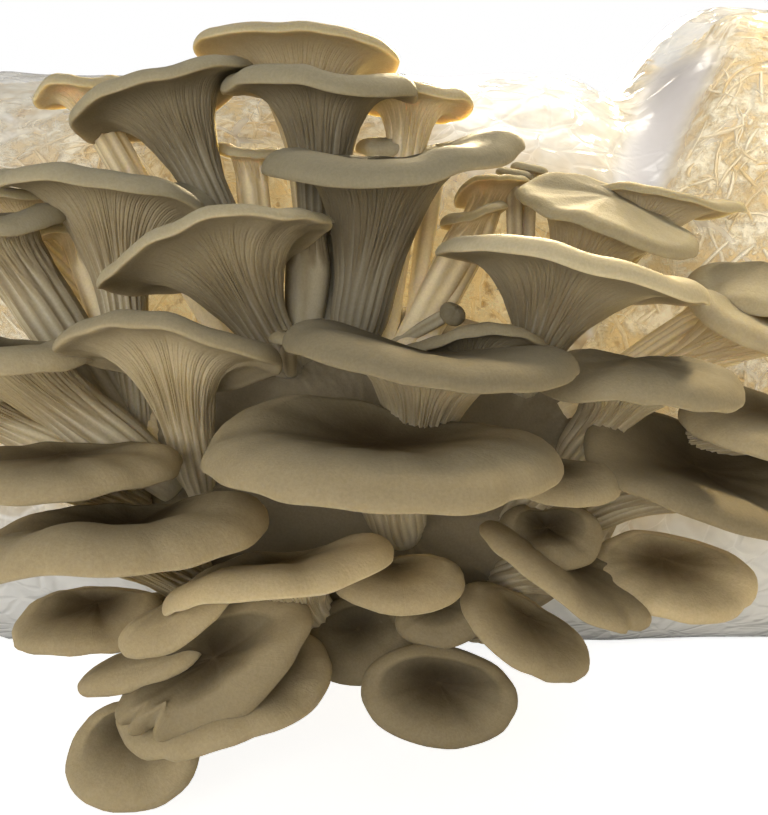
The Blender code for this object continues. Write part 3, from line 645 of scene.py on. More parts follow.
def gill_depth(growth, reach, count, settings):
    """How deep the valleys between gills are, in columns round the stem and rows out to the rim."""
    columns = np.arange(count)
    random = growth.random
    ribs = count // RIB
    broad = np.repeat(random.uniform(0.55, 1.5, ribs), RIB)
    second = np.repeat(random.uniform(0.0, 0.28, ribs * 2), 8)
    third = np.repeat(random.uniform(0.18, 0.5, ribs * 4), 4)
    last = np.repeat(random.uniform(0.45, 0.72, ribs * 8), 2)
    ridge = [np.abs(((columns / period) % 1.0) * 2 - 1) for period in (16, 8, 4, 2)]
    valley = [(1 - r) ** power for r, power in zip(ridge, (1.5, 1.1, 0.8, 0.6))]
    depths = []
    for s in reach:
        # each finer set of valleys starts further out, and the coarser sets give way to it
        parts = (1.2 * broad * smooth_step(s, -1.0, -0.1) * (1 - smooth_step(s, 0.25, 0.8)) * valley[0],
                 smooth_step(s, second, second + 0.3) * (1 - 0.7 * smooth_step(s, 0.45, 0.9)) * valley[1],
                 0.85 * smooth_step(s, third, third + 0.2) * (1 - 0.5 * smooth_step(s, 0.6, 0.95))
                 * valley[2],
                 0.6 * smooth_step(s, last, last + 0.2) * valley[3])
        faint = (1 - 0.85 * smooth_step(s, 0.42, 0.98)) * (1 - smooth_step(s, 1.0, 1.16))
        depths.append(sum(parts) * faint)
    return np.array(depths) * settings.gill_height * min(1.0, growth.half_width / FULL_GILLS_HALF_WIDTH)


def under_rows(growth, angles):
    """Rings of points up the stem, out along the gills and inside the turned-down edge.

    With them comes how far out each ring is: -1 at the foot, 0 at the neck and 1 where the gills end.
    """
    stem = np.linspace(0.0, 1.0, STEM_ROWS + 1)[:-1] - 1
    flare = np.linspace(0.0, 1.0, GILL_ROWS) ** 0.9
    edge = np.linspace(1.0, EDGE_REACH, len(INSIDE_LIP) + 1)[1:]
    rows = []
    for s in np.concatenate((stem, flare)):
        shift = sum(a * np.sin(k * angles + start + 3 * s) for k, a, start in growth.wander)
        turned = angles + shift * smooth_step(s, -1.0, 0.3) * (1 - smooth_step(s, 0.6, 1.0))
        rows.append(growth.stem_ring(turned, 1 + s) if s < 0 else growth.gill_row(turned, s))
    rows += growth.lip_rows(angles, INSIDE_LIP)
    return np.array(rows), np.concatenate((stem, flare, edge))


def top_rows(growth, angles):
    """Rings of points over the rolled edge and in to the cap's heart, with its notches fading out inward."""
    lip_out, lip_up = LIP[-1]
    rows = growth.lip_rows(angles, LIP)
    rim, out = growth.rim(angles)
    notched = rim + out * (lip_out * growth.margin)
    whole = growth.rim(angles, notched=False)[0] + out * (lip_out * growth.margin)
    for w in TOP_SHARES:
        swell = (lip_up + CROWN * smooth_step(w, 0, 0.15)) * growth.margin
        sink = growth.dish * smooth_step(w, 0.0, 0.95)
        start = notched + (whole - notched) * smooth_step(w, 0.0, 0.3)
        rows.append(start * (1 - w) + growth.heart * w + growth.up * (swell - sink))
    return np.array(rows)


def mushroom_faces(rows, count, top_count, ring):
    """Faces below and above, joined at the lip, where one step of the top meets several from below.

    The last two points are the foot's end and the middle of the cap.
    """
    step = count // ring
    half = step // 2
    under_size = rows * count
    last_row = under_size - count
    faces = grid_faces(rows, count)
    for j in range(ring):
        here, following = under_size + j, under_size + (j + 1) % ring
        fine = [last_row + (j * step + k) % count for k in range(step + 1)]
        faces += [(fine[k], fine[k + 1], here) for k in range(half)]
        faces.append((fine[half], following, here))
        faces += [(fine[k], fine[k + 1], following) for k in range(half, step)]
    faces += grid_faces(top_count, ring, under_size)
    foot_point = under_size + top_count * ring
    faces += fan_faces(0, count, foot_point, flipped=True)
    faces += fan_faces(foot_point - ring, ring, foot_point + 1)
    return faces


def gill_streaks(random, reach, count):
    """Lighter and darker streaks: broad ones on the stem, finer ones further out, and even at the edge."""
    broad = np.repeat(random.uniform(0, 1, count // 8), 8)
    broad = sum(np.roll(broad, k) for k in range(-4, 5)) / 9
    fine = np.repeat(random.uniform(0, 1, count // 2), 2)
    share = 0.4 * smooth_step(reach, 0.15, 0.5)[:, None]
    calm = 0.6 * smooth_step(reach, 0.55, 1.0)[:, None]
    return broad, (broad * (1 - share) + fine * share) * (1 - calm) + 0.55 * calm


def mushroom_values(growth, reach, depth, top, angles, coarse):
    """What the flesh material reads at each point: painted shade, direction, side, reach (which also carries
    the painted shade of the hollow), streaks and valleys.
    """
    shape = growth.shape
    count, ring, rows = len(angles), len(coarse), len(reach)
    cap_shade, gill_shade = PAINTED_SHADES.get(shape.name, (1.0, 1.0))
    # painted shade below: the gills' value turns to the cap's at the edge, and the underside is darker just
    # inside the rim
    below = gill_shade + (cap_shade - gill_shade) * smooth_step(reach, 0.85, EDGE_REACH)
    below *= 1 - 0.3 * smooth_step(reach, 0.7, 0.98) * (1 - smooth_step(reach, 1.1, EDGE_REACH))

    inward = np.array([0.0] * len(LIP) + list(TOP_SHARES))[:, None]
    forward = (top - growth.centre) @ growth.front / growth.half_depth
    # painted shade above: darker toward the heart and on the cap's far side, more so on caps pitched 40
    # degrees or more
    back_shade = 0.4 if shape.pitch < 40 else 0.6
    away = smooth_step(-forward, -0.6, 0.8) * smooth_step(inward, 0.0, 0.12)
    above = cap_shade * (1 - 0.12 * smooth_step(inward, 0.0, 0.6) - back_shade * away)

    # painted shade of the hollow, carried in reach: stronger for deeper dishes and shifted to the far side
    hollowness = min(1.0, max(0.35, shape.dish / 4))
    hollow_share = np.clip(inward * (0.8 - 0.45 * forward), 0, 1)
    top_side = np.clip(1 - (np.arange(len(top)) + 1) / 2, 0, 1)
    outward = np.repeat(np.clip(reach, 0, 1), count)
    turn = np.concatenate((np.tile(angles, rows), np.tile(coarse, len(top)), [0, 0]))
    fibre_reach = np.concatenate((outward, np.repeat(1 - inward[:, 0], ring), [0, 0]))
    broad, streak = gill_streaks(growth.random, reach, count)
    # each holds the rows below, the rows above, and the two middle points
    parts = {
        # the cap's middle point is painted darker
        "shade": (np.repeat(below, count), above, [gill_shade, 0.75 * cap_shade]),
        "under": (np.ones(rows * count), np.repeat(top_side, ring), [1, 0]),
        "reach": (outward, 1 - hollow_share * hollowness, [0, 1 - 0.8 * hollowness]),
        "streak": (streak, np.tile(broad[::count // ring], len(top)), [0.5, 0.5]),
        "hollow": (depth / max(depth.max(), 1e-9), np.zeros(len(top) * ring), [0, 0]),
    }
    values = {key: np.concatenate([np.ravel(part) for part in three]) for key, three in parts.items()}
    values["fibre"] = np.stack((np.cos(turn), np.sin(turn), fibre_reach), -1)
    return values


def make_mushroom(shape, settings, material):
    """One mushroom, closed all round: stem, gills, rolled edge and cap."""
    growth = Growth(shape)
    count = RIB * rib_count(shape, settings)
    deep_notch = any(cut > DEEP_CUT for _, _, cut in NOTCHES.get(shape.name, ()))
    step = 2 if count < SMALL_RING or deep_notch else 4
    angles = 2 * np.pi * np.arange(count) / count
    coarse = angles[::step]
    under, reach = under_rows(growth, angles)
    along = np.gradient(under, axis=0)
    around = np.roll(under, -1, axis=1) - np.roll(under, 1, axis=1)
    normal = unit(np.cross(around, along))
    depth = gill_depth(growth, reach, count, settings)
    under -= normal * depth[..., None]
    top = top_rows(growth, coarse)
    middle = growth.heart + growth.up * ((LIP[-1][1] + CROWN) * growth.margin - growth.dish)
    root = growth.foot - growth.along * (STEM_ROOT + 1 * MM)
    points = np.concatenate((under.reshape(-1, 3), top.reshape(-1, 3), [root, middle]))
    faces = mushroom_faces(len(reach), count, len(top), len(coarse))
    values = mushroom_values(growth, reach, depth, top, angles, coarse)

    first_gill = int(np.searchsorted(reach, 0.3)) * count
    first_smooth = int(np.searchsorted(reach, 0.99)) * count

    def on_gill(ends):
        lowest, highest = ends.min(axis=1), ends.max(axis=1)
        return (lowest >= first_gill) & (highest < first_smooth) & ((highest - lowest) % count == 0)

    obj = mesh_object("oyster_" + shape.name, points, faces, material, values, on_gill)
    return stand_for(obj, "mushroom_flesh", "mushroom_" + shape.name)


# the fused base: its rings, how it swells where the stems leave it, and its painted shade, as it lies in
# shade among the caps
BASE_COLUMNS, BASE_ROWS = 270, 84
BASE_RIB_HEIGHT = 2.2
BASE_MOUND_HEIGHT = 5.0
BASE_SINK = 4.5
BASE_SHADE = 0.6


def make_stem_base(material):
    """The mass of stem ends grown together, with ribs that spread from the foot of each stem."""
    columns, rows = BASE_COLUMNS, BASE_ROWS
    turn = 2 * np.pi * np.arange(columns) / columns
    tilt = np.linspace(-0.5, 0.5, rows + 2)[1:-1] * np.pi
    a, b = np.meshgrid(turn, tilt)
    points = np.stack((np.cos(b) * np.cos(a), np.sin(b), np.cos(b) * np.sin(a)), -1).reshape(-1, 3)
    points = points * FOOT_RADII
    across, up = points[:, 0] + FOOT_CENTRE[0], points[:, 2] + FOOT_CENTRE[2]
    pull = np.zeros(len(points))
    ribs = np.zeros(len(points))
    for shape in MUSHROOMS:
        foot = stem_start(*shape.foot)
        dx, dz = across - foot[0], up - foot[2]
        near = np.exp(-np.hypot(dx, dz) / (shape.stem * 1.1 * MM)) + 1e-6
        angle = np.arctan2(dz, dx)
        pull += near
        ribs += near * np.abs(np.sin(angle * 1.6 * shape.stem / 2 + 2.5 * np.sin(angle * 2 + shape.stem)))
    ribs = ribs / pull
    mound = np.clip(pull, 0, 1)
    normal = unit(points / FOOT_RADII ** 2)
    lift = (BASE_RIB_HEIGHT * ribs + BASE_MOUND_HEIGHT * mound - BASE_SINK) * MM
    lift *= points[:, 1] < 0
    points = points + normal * lift[:, None] + FOOT_CENTRE
    ends = [FOOT_CENTRE + (0, side * FOOT_RADII[1], 0) for side in (-1, 1)]
    count = len(points)
    faces = grid_faces(rows, columns)
    faces += fan_faces(0, columns, count, flipped=True)
    faces += fan_faces(count - columns, columns, count + 1)
    points = np.concatenate((points, ends))
    size = len(points)
    # painted shade: the base darker all over and darker still between the stems' mounds and ribs, with a
    # painted highlight on the rib tops
    values = {
        "under": np.ones(size),
        "reach": np.zeros(size),
        "fibre": points * 10,
        "shade": np.full(size, BASE_SHADE),
        "hollow": np.append(np.clip(1.5 - 0.6 * ribs - 0.7 * mound, 0, 1), (0, 0)),
        "streak": np.append(mound * 0.6, (0, 0)),
    }
    obj = mesh_object("fused_stem_ends", points, faces, material, values)
    return stand_for(obj, "fused_stems", "cluster_foot")


# ---------------------------------------------------------------- the bag

BAG_HALF_DEPTH = 150 * MM
BAG_HALF_HEIGHT = 151.5 * MM
REST_FLAT = 14 * MM
SECTION_POWER = 2.4
# the pinch between the two lobes, and how much fuller the bag is from there on
PINCH_X, PINCH_REACH, PINCH_DEPTH = 112 * MM, 20 * MM, 6 * MM
LOBE_START, LOBE_END, LOBE_RISE = 108 * MM, 168 * MM, 17 * MM
# the fold of doubled film in the pinch, which leans to the right on its way up
FOLD_X = 116 * MM
FOLD_Z = 233 * MM
FOLD_SLANT = 0.5
FOLD_REACH = 10.5 * MM
FOLD_DEPTH = 20 * MM
NECK_X = 284 * MM
NECK_RADIUS = 9 * MM
# x, share of the bag's width, share of its height
STATIONS = np.array((
    (-255, 0.62, 0.03), (-249, 0.80, 0.36), (-230, 0.95, 0.80), (-190, 1, 1), (208, 1, 1), (240, 0.86, 0.86),
    (260, 0.52, 0.52), (272, 0.24, 0.24), (280, 0.06, 0.06), (288, 0.06, 0.06), (316, 0.2267, 0.1587)))


def bag_half_height(x):
    dip = PINCH_DEPTH * np.exp(-((x - PINCH_X) / PINCH_REACH) ** 2)
    return BAG_HALF_HEIGHT + LOBE_RISE * smooth_step(x, LOBE_START, LOBE_END) - dip


def bag_surface(x, angles, inset=0.0):
    """Points of the bag's skin for each x and angle, pressed flat on the floor."""
    wide = np.interp(x / MM, STATIONS[:, 0], STATIONS[:, 1])
    high = np.interp(x / MM, STATIONS[:, 0], STATIONS[:, 2])
    half_height = bag_half_height(x)
    power = 2 / SECTION_POWER
    c, s = np.cos(angles), np.sin(angles)
    y = np.sign(c) * np.abs(c) ** power * (BAG_HALF_DEPTH * wide - inset)
    z = np.sign(s) * np.abs(s) ** power * (half_height * high - inset)
    return np.stack((x + 0 * y, y, np.maximum(z + half_height - REST_FLAT, inset)), -1)


# sets of parallel folds that cross each other all over the film
CREASE_SETS = 26


def creases(x, around):
    """The height of the film's sharp folds at each point, about -1 to 1, and how creased it is."""
    random = seeded("film creases")
    height = np.zeros(np.broadcast(x, around).shape)
    sharp = np.zeros_like(height)
    for k in range(CREASE_SETS):
        direction = random.uniform(0, np.pi)
        length = random.uniform(26, 95) * MM
        phase = random.uniform(0, 1)
        place = (x * math.cos(direction) + around * math.sin(direction)) / length + phase
        place = place + 0.35 * np.sin(place * 1.7 + k) + 0.18 * np.sin(around / (23 * MM) + k)
        wave = np.abs((place % 1.0) * 2 - 1)
        here = 0.5 + 0.5 * np.sin(x / (61 * MM) * (1 + k % 3) + around / (47 * MM) + 2.1 * k)
        height += (wave - 0.5) * here * (length / (60 * MM))
        sharp = np.maximum(sharp, here * smooth_step(wave, 0.90, 1.0))
    return height / 5, sharp


# the film's rings: which share of them lies up to which x, in mm, with more where the neck is gathered
FILM_COLUMNS, FILM_ROWS = 250, 160
FILM_SPREAD = ((0, -255), (0.08, -230), (0.76, 215), (0.90, 276), (0.94, 289), (1.0, 316))
# the opening in the front that the cluster grows out of, with its edge turned out
OPENING_RADII = (88 * MM, 60 * MM)
FRONT_Y = -0.1
OPENING_LIP = 3.0 * MM
FLOOR_GAP = 0.2 * MM


def film_light(px, pz):
    """Where the doubled film is milky, where the film has a painted glow of daylight, and where it is
    painted whiter.
    """
    milky = fold_share(px, pz) * smooth_step(pz, 120 * MM, 170 * MM)
    milky *= 1 - smooth_step(pz, 268 * MM, 292 * MM)
    # painted glow of daylight above the cluster and at the far left
    glare = np.exp(-((px - 60 * MM) / (55 * MM)) ** 4) + 0.4 * np.exp(-((px + 165 * MM) / (35 * MM)) ** 4)
    glare *= smooth_step(pz, 185 * MM, 235 * MM)
    # painted light: the film whiter low down, near the pale floor, and round the glow
    fog = np.maximum(1 - smooth_step(pz, 35 * MM, 105 * MM), 0.4 * glare)
    return milky, glare, fog


def make_film(settings, material):
    """The creased film tube, with a gathered neck and frill at one end and an opening in its front."""
    columns, rows = FILM_COLUMNS, FILM_ROWS
    shares, places = np.array(FILM_SPREAD).T
    x = np.interp(np.linspace(0, 1, rows), shares, places * MM)[:, None]
    turn = (2 * np.pi * np.arange(columns) / columns)[None, :]
    points = bag_surface(x, turn)
    middle = points.mean(axis=1, keepdims=True)
    outward = points - middle
    outward[..., 0] = 0
    outward = unit(outward)
    height, sharp = creases(x, turn * BAG_HALF_DEPTH)
    full = smooth_step(x, -252 * MM, -225 * MM) * (1 - smooth_step(x, 235 * MM, 268 * MM))
    clear_of_floor = smooth_step(points[..., 2], 2 * MM, 25 * MM)
    bulge = height * settings.crease_depth * full * clear_of_floor
    size = np.linalg.norm((points - middle)[..., 1:], axis=-1)
    gathered = smooth_step(x, 215 * MM, 275 * MM) * (1 - smooth_step(x, 279 * MM, 282 * MM))
    pleats = 0.5 * np.cos(34 * turn + 0.8 * np.sin(5 * turn)) + 0.5 * np.cos(21 * turn + 2)
    bulge = bulge + gathered * pleats * 0.045 * size
    frill = smooth_step(x, 288 * MM, 316 * MM)
    bulge = bulge + frill * size * 0.22 * np.cos(11 * turn + 1.5 * np.sin(3 * turn))
    points = points + outward * bulge[..., None]
    points[..., 2] = np.maximum(points[..., 2], FLOOR_GAP)

    px, pz = points[..., 0], points[..., 2]
    ragged = 1 + 0.04 * np.sin(9 * turn + 40 * x) + 0.03 * np.sin(150 * x)
    edge = np.hypot((px - FOOT_CENTRE[0]) / OPENING_RADII[0], (pz - FOOT_CENTRE[2]) / OPENING_RADII[1])
    edge /= ragged
    at_front = points[..., 1] < FRONT_Y
    lip = at_front * np.exp(-((edge - 1.0) / 0.10) ** 2)
    points[..., 1] -= OPENING_LIP * lip
    is_open = (at_front & (edge < 1.0)).reshape(-1)
    faces = [face for face in grid_faces(rows, columns) if not any(is_open[i] for i in face)]
    faces += fan_faces(0, columns, rows * columns, flipped=True)
    flat = np.concatenate((points.reshape(-1, 3), points[0].mean(axis=0, keepdims=True)))

    crease = np.clip(0.25 * sharp * full + 0.7 * gathered * np.abs(pleats) + 0.5 * frill + 0.8 * lip, 0, 1)
    milky, glare, fog = film_light(px, pz)
    used = np.unique(np.array([i for face in faces for i in face]))
    place = np.full(len(flat), -1)
    place[used] = np.arange(len(used))
    faces = [tuple(int(place[i]) for i in face) for face in faces]
    values = {key: np.append(value.reshape(-1), end)[used] for key, value, end in (
        ("crease", crease, 1.0), ("milky", milky, 0.0), ("glare", glare, 0.0), ("fog", fog, 1.0))}
    obj = mesh_object("crinkled_film", flat[used], faces, material, values)
    return stand_for(obj, "clear_film", "bag_film")


def fold_share(x, z):
    """1 in the fold between the two lobes, which leans to the right on its way up, and 0 away from it."""
    across = x - FOLD_X - FOLD_SLANT * (z - FOLD_Z)
    return np.exp(-(across / FOLD_REACH) ** 4)


def straw_inset(x, angles, extra):
    """How far the straw lies in from the film: deeper in the fold and at the ends."""
    fold = FOLD_DEPTH * fold_share(x, bag_surface(x, angles)[..., 2])
    high = np.interp(x / MM, STATIONS[:, 0], STATIONS[:, 2])
    return 1.4 * MM + 12 * MM * (1 - high) + fold + extra


def make_straw_core(material):
    """The lumpy mass of packed straw."""
    columns, rows = 150, 90
    x = np.linspace(-248, 271, rows)[:, None] * MM
    turn = (2 * np.pi * np.arange(columns) / columns)[None, :]
    points = bag_surface(x, turn, straw_inset(x, turn, 3.4 * MM))
    lumps = sum(a * np.sin(x * k + turn * m + p) for a, k, m, p in (
        (0.9, 70, 9, 1), (0.7, 120, -14, 2), (0.6, 190, 23, 3), (0.5, 260, -31, 5)))
    away = points - points.mean(axis=1, keepdims=True)
    away[..., 0] = 0
    points = points + unit(away) * (np.minimum(lumps, 1.2) * MM)[..., None]
    points[..., 2] = np.maximum(points[..., 2], 4 * MM)
    ends = [points[end].mean(axis=0, keepdims=True) for end in (0, -1)]
    flat = np.concatenate((points.reshape(-1, 3), *ends))
    count = rows * columns
    faces = grid_faces(rows, columns)
    faces += fan_faces(0, columns, count, flipped=True)
    faces += fan_faces(count - columns, columns, count + 1)
    obj = mesh_object("straw_core", flat, faces, material, {"sunlit": sunlit_share(flat)})
    return stand_for(obj, "packed_straw", "straw_block")


def sunlit_share(points):
    """Where the straw has its painted sun glow: most just round the cluster, on the front."""
    x, y, z = points.T
    return np.exp(-((x + 5 * MM) / (125 * MM)) ** 4 - ((z - 148 * MM) / (95 * MM)) ** 4) * (y < 0)


def make_straw_strands(settings, material):
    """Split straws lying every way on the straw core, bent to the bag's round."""
    random = seeded("straw strands")
    number = settings.strands
    x0 = random.uniform(-243, 262, number) * MM
    turn0 = random.uniform(0, 2 * np.pi, number)
    heading = random.normal(0.0, 0.75, number) + random.integers(0, 2, number) * np.pi / 2
    length = settings.strand_length * random.uniform(0.25, 1.3, number) ** 1.6
    width = random.uniform(0.3, 1.2, number) * MM
    bend = random.normal(0, 0.5, number)
    depth = random.uniform(0.8, 3.8, number) * MM
    widths = (0.45, 1.0, 1.0, 0.45)
    steps = len(widths)
    share = np.linspace(-0.5, 0.5, steps)[None, :]
    way = heading[:, None] + bend[:, None] * share
    x = np.clip(x0[:, None] + np.cos(way) * share * length[:, None], -247 * MM, 270 * MM)
    turn = turn0[:, None] + np.sin(way) * share * length[:, None] / (145 * MM)
    middle = bag_surface(x, turn, straw_inset(x, turn, depth[:, None]))
    middle[..., 2] = np.maximum(middle[..., 2], 2.2 * MM)
    along = unit(np.gradient(middle, axis=1) + 1e-9)
    out = middle - np.array((0, 0, 138 * MM))
    out[..., 0] = 0
    out = unit(out)
    side = unit(np.cross(along, out))
    out = np.cross(side, along)
    half = width[:, None, None] * np.array(widths)[None, :, None]
    corners = [middle + side * half, middle + out * half * 0.6, middle - side * half]
    rings = np.stack(corners, axis=2)
    points = rings.reshape(-1, 3)
    points[:, 2] = np.maximum(points[:, 2], 1.2 * MM)
    sides = len(corners)
    faces = []
    for n in range(number):
        start = n * steps * sides
        faces += grid_faces(steps, sides, start)
        faces.append(tuple(start + k for k in range(sides))[::-1])
        faces.append(tuple(start + (steps - 1) * sides + k for k in range(sides)))
    patches = sum(np.sin(x0 * a + turn0 * b + c) for a, b, c in (
        (55, 9, 0), (95, -13, 1), (160, 21, 2), (30, 17, 3)))
    shade = np.repeat(np.clip(random.beta(2.2, 1.5, number) + 0.24 * patches, 0, 1), steps * sides)
    values = {"shade": shade, "sunlit": sunlit_share(points)}
    obj = mesh_object("straw_strands", points, faces, material, values)
    return stand_for(obj, "packed_straw")


def cross_axes(path):
    """Two directions across a path at each of its points."""
    along = unit(np.gradient(path, axis=0))
    side = unit(np.cross(along, np.array((0.31, 0.17, 0.93))))
    return side, np.cross(side, along)


def tube(path, radius, sides):
    """Rings of points round a path, and their faces, for a tube with closed ends."""
    side, up = cross_axes(path)
    turn = 2 * np.pi * np.arange(sides) / sides
    ring = (np.cos(turn)[None, :, None] * side[:, None] + np.sin(turn)[None, :, None] * up[:, None])
    points = (path[:, None] + ring * radius).reshape(-1, 3)
    count = len(points)
    faces = grid_faces(len(path), sides)
    faces.append(tuple(range(sides))[::-1])
    faces.append(tuple(range(count - sides, count)))
    return points, faces


TWINE_TURNS = 3
TWINE_STEP = 2.0 * MM
PLY_RADIUS = 0.72 * MM
PLY_OFFSET = 0.62 * MM
PLY_LAY = 0.9 * MM


def make_twine(material):
    """Three turns of two-ply twine round the gathered neck, with a knot and two short ends."""
    centre = np.array((NECK_X, 0, bag_half_height(NECK_X) - REST_FLAT))
    turns = np.linspace(0, TWINE_TURNS * 2 * np.pi, 150)
    radius = NECK_RADIUS + 2.4 * MM
    sideways = (turns / (2 * np.pi) - TWINE_TURNS / 2) * TWINE_STEP
    coil = np.stack((sideways, radius * np.sin(turns), radius * np.cos(turns)), -1)
    coil[:, 1:] *= 1 + 0.02 * np.sin(5 * turns)[:, None]
    k = np.linspace(0, 2 * np.pi, 60)
    knot = np.stack((3.2 * np.sin(k) + np.sin(2 * k), 4.2 * np.sin(2 * k + 0.6), 2.2 * np.cos(k)), -1) * MM
    knot += (0, 0, radius + 2.6 * MM)
    paths = [coil, knot]
    t = np.linspace(0, 1, 30)
    rise = radius + (2.5 + 5 * np.sin(2.6 * t) - 4 * t * t) * MM
    for way in (-1, 1):
        paths.append(np.stack((way * 4 * t * MM, way * (3 + 17 * t) * MM, rise), -1))
    points, faces = [], []
    for path in paths:
        lay = np.cumsum(np.linalg.norm(np.diff(path, axis=0, prepend=path[:1]), axis=1)) / PLY_LAY
        side, up = cross_axes(path)
        for ply in (0, np.pi):
            twist = side * np.cos(lay + ply)[:, None] + up * np.sin(lay + ply)[:, None]
            wound, quads = tube(centre + path + twist * PLY_OFFSET, PLY_RADIUS, 6)
            shift = sum(len(p) for p in points)
            points.append(wound)
            faces += [tuple(i + shift for i in face) for face in quads]
    obj = mesh_object("twine_tie", np.concatenate(points), faces, material)
    return stand_for(obj, "twine", "neck_tie")


# ---------------------------------------------------------------- the stage

FLOOR_HALF = 6.0
FLOOR_Z = -0.5 * MM
SENSOR_WIDTH = 36.0
CAMERA_PLACE = (0, -0.52, 0.15)
# the camera looks down by this rise over run
CAMERA_DROP = 67.5 / 900

# Lengths in metres, the cone in degrees, for spots alone. A lamp may light the bag alone (INCLUDE) or
# everything but the bag (EXCLUDE).
Lamp = namedtuple("Lamp", "name power colour place aim size cone bag", defaults=(None, None))
BAG_PIECES = ("crinkled_film", "straw_core", "straw_strands", "twine_tie")
SUN_PLACE, SUN_AIM = (0.25, 1.0, 0.85), (0.0, -0.05, 0.25)
# share of the sun behind that falls on the bag itself, so that its back isn't burnt out
BACK_SHARE = 0.07
RIGHT_SHARE = 2.1


def stage_lamps(settings):
    back, side = settings.back_light, settings.side_light
    return (
        Lamp("low sun behind", back, (1.0, 0.82, 0.52), SUN_PLACE, SUN_AIM, 0.4, bag="EXCLUDE"),
        Lamp("low sun on the bag's back", back * BACK_SHARE, (1.0, 0.90, 0.74), SUN_PLACE, SUN_AIM, 0.4,
             bag="INCLUDE"),
        Lamp("sun on the bag", side, (1.0, 0.84, 0.56), (0.55, -0.60, 0.85), (0.25, -0.05, 0.24), 0.1, 21),
        Lamp("sun on the right", side * RIGHT_SHARE, (1.0, 0.82, 0.50), (0.42, 0.25, 0.9),
             (0.115, -0.160, 0.205), 0.12, 11),
        Lamp("soft sky above", settings.top_light, (1.0, 0.95, 0.84), (0.1, 0.15, 1.1),
             (0, -0.15, 0.1), 0.5),
        Lamp("soft fill in front", settings.front_light, (1.0, 0.98, 0.93), (-0.35, -1.3, 0.2),
             (0, -0.2, 0.12), 0.9),
    )


def add_lamp(lamp):
    """Add a round area light, or a soft spot where the lamp has a cone, aimed at its point."""
    data = bpy.data.lights.new(lamp.name, "SPOT" if lamp.cone else "AREA")
    if lamp.cone:
        data.shadow_soft_size = lamp.size
        data.spot_size = math.radians(lamp.cone)
        data.spot_blend = 1.0
    else:
        data.shape = "DISK"
        data.size = lamp.size
    data.energy = lamp.power
    data.color = lamp.colour
    obj = bpy.data.objects.new(lamp.name, data)
    obj.location = lamp.place
    obj.rotation_euler = (Vector(lamp.aim) - Vector(lamp.place)).to_track_quat("-Z", "Y").to_euler()
    bpy.context.scene.collection.objects.link(obj)
    return obj


def link_to_bag(light, state):
    """Let a light fall on the bag alone (INCLUDE), or on everything but the bag (EXCLUDE)."""
    bag = bpy.data.collections.new(light.name)
    for name in BAG_PIECES:
        bag.objects.link(bpy.data.objects[name])
    for member in bag.collection_objects:
        member.light_linking.link_state = state
    light.light_linking.receiver_collection = bag


def make_camera(settings):
    camera = bpy.data.cameras.new("photo view")
    camera.sensor_fit = "HORIZONTAL"
    camera.sensor_width = SENSOR_WIDTH
    camera.lens = settings.lens
    camera.clip_start = 0.01
    view = bpy.data.objects.new("photo view", camera)
    view.location = CAMERA_PLACE
    view.rotation_euler = (math.pi / 2 - math.atan(CAMERA_DROP), 0, 0)
    bpy.context.scene.collection.objects.link(view)
    bpy.context.scene.camera = view


def make_world(settings):
    """A white room: bright to the camera, and dim as a light."""
    world = bpy.data.worlds.new("white room")
    world.use_nodes = True
    tree = world.node_tree
    tree.nodes.clear()
    seen = tree.nodes.new("ShaderNodeBackground")
    lit = tree.nodes.new("ShaderNodeBackground")
    lit.inputs["Strength"].default_value = settings.room_light
    ray = tree.nodes.new("ShaderNodeLightPath")
    choice = tree.nodes.new("ShaderNodeMixShader")
    out = tree.nodes.new("ShaderNodeOutputWorld")
    for shader in (seen, lit):
        shader.inputs["Color"].default_value = (*WHITE, 1.0)
    tree.links.new(ray.outputs["Is Camera Ray"], choice.inputs[0])
    tree.links.new(lit.outputs[0], choice.inputs[1])
    tree.links.new(seen.outputs[0], choice.inputs[2])
    tree.links.new(choice.outputs[0], out.inputs["Surface"])
    bpy.context.scene.world = world


def make_stage(settings):
    """The floor, the camera, the lamps and the white room."""
    corners = [(x * FLOOR_HALF, y * FLOOR_HALF, FLOOR_Z) for x, y in ((-1, -1), (1, -1), (1, 1), (-1, 1))]
    floor = mesh_object("pale_floor", corners, [(0, 1, 2, 3)], floor_material(settings))
    make_camera(settings)
    for lamp in stage_lamps(settings):
        light = add_lamp(lamp)
        if lamp.bag:
            link_to_bag(light, lamp.bag)
    make_world(settings)
    bpy.context.scene.view_settings.view_transform = "Standard"


# ---------------------------------------------------------------- settings, operators and panel

def colour_setting(name, about, value):
    return FloatVectorProperty(name=name, description=about, default=value, subtype="COLOR", min=0, max=1)


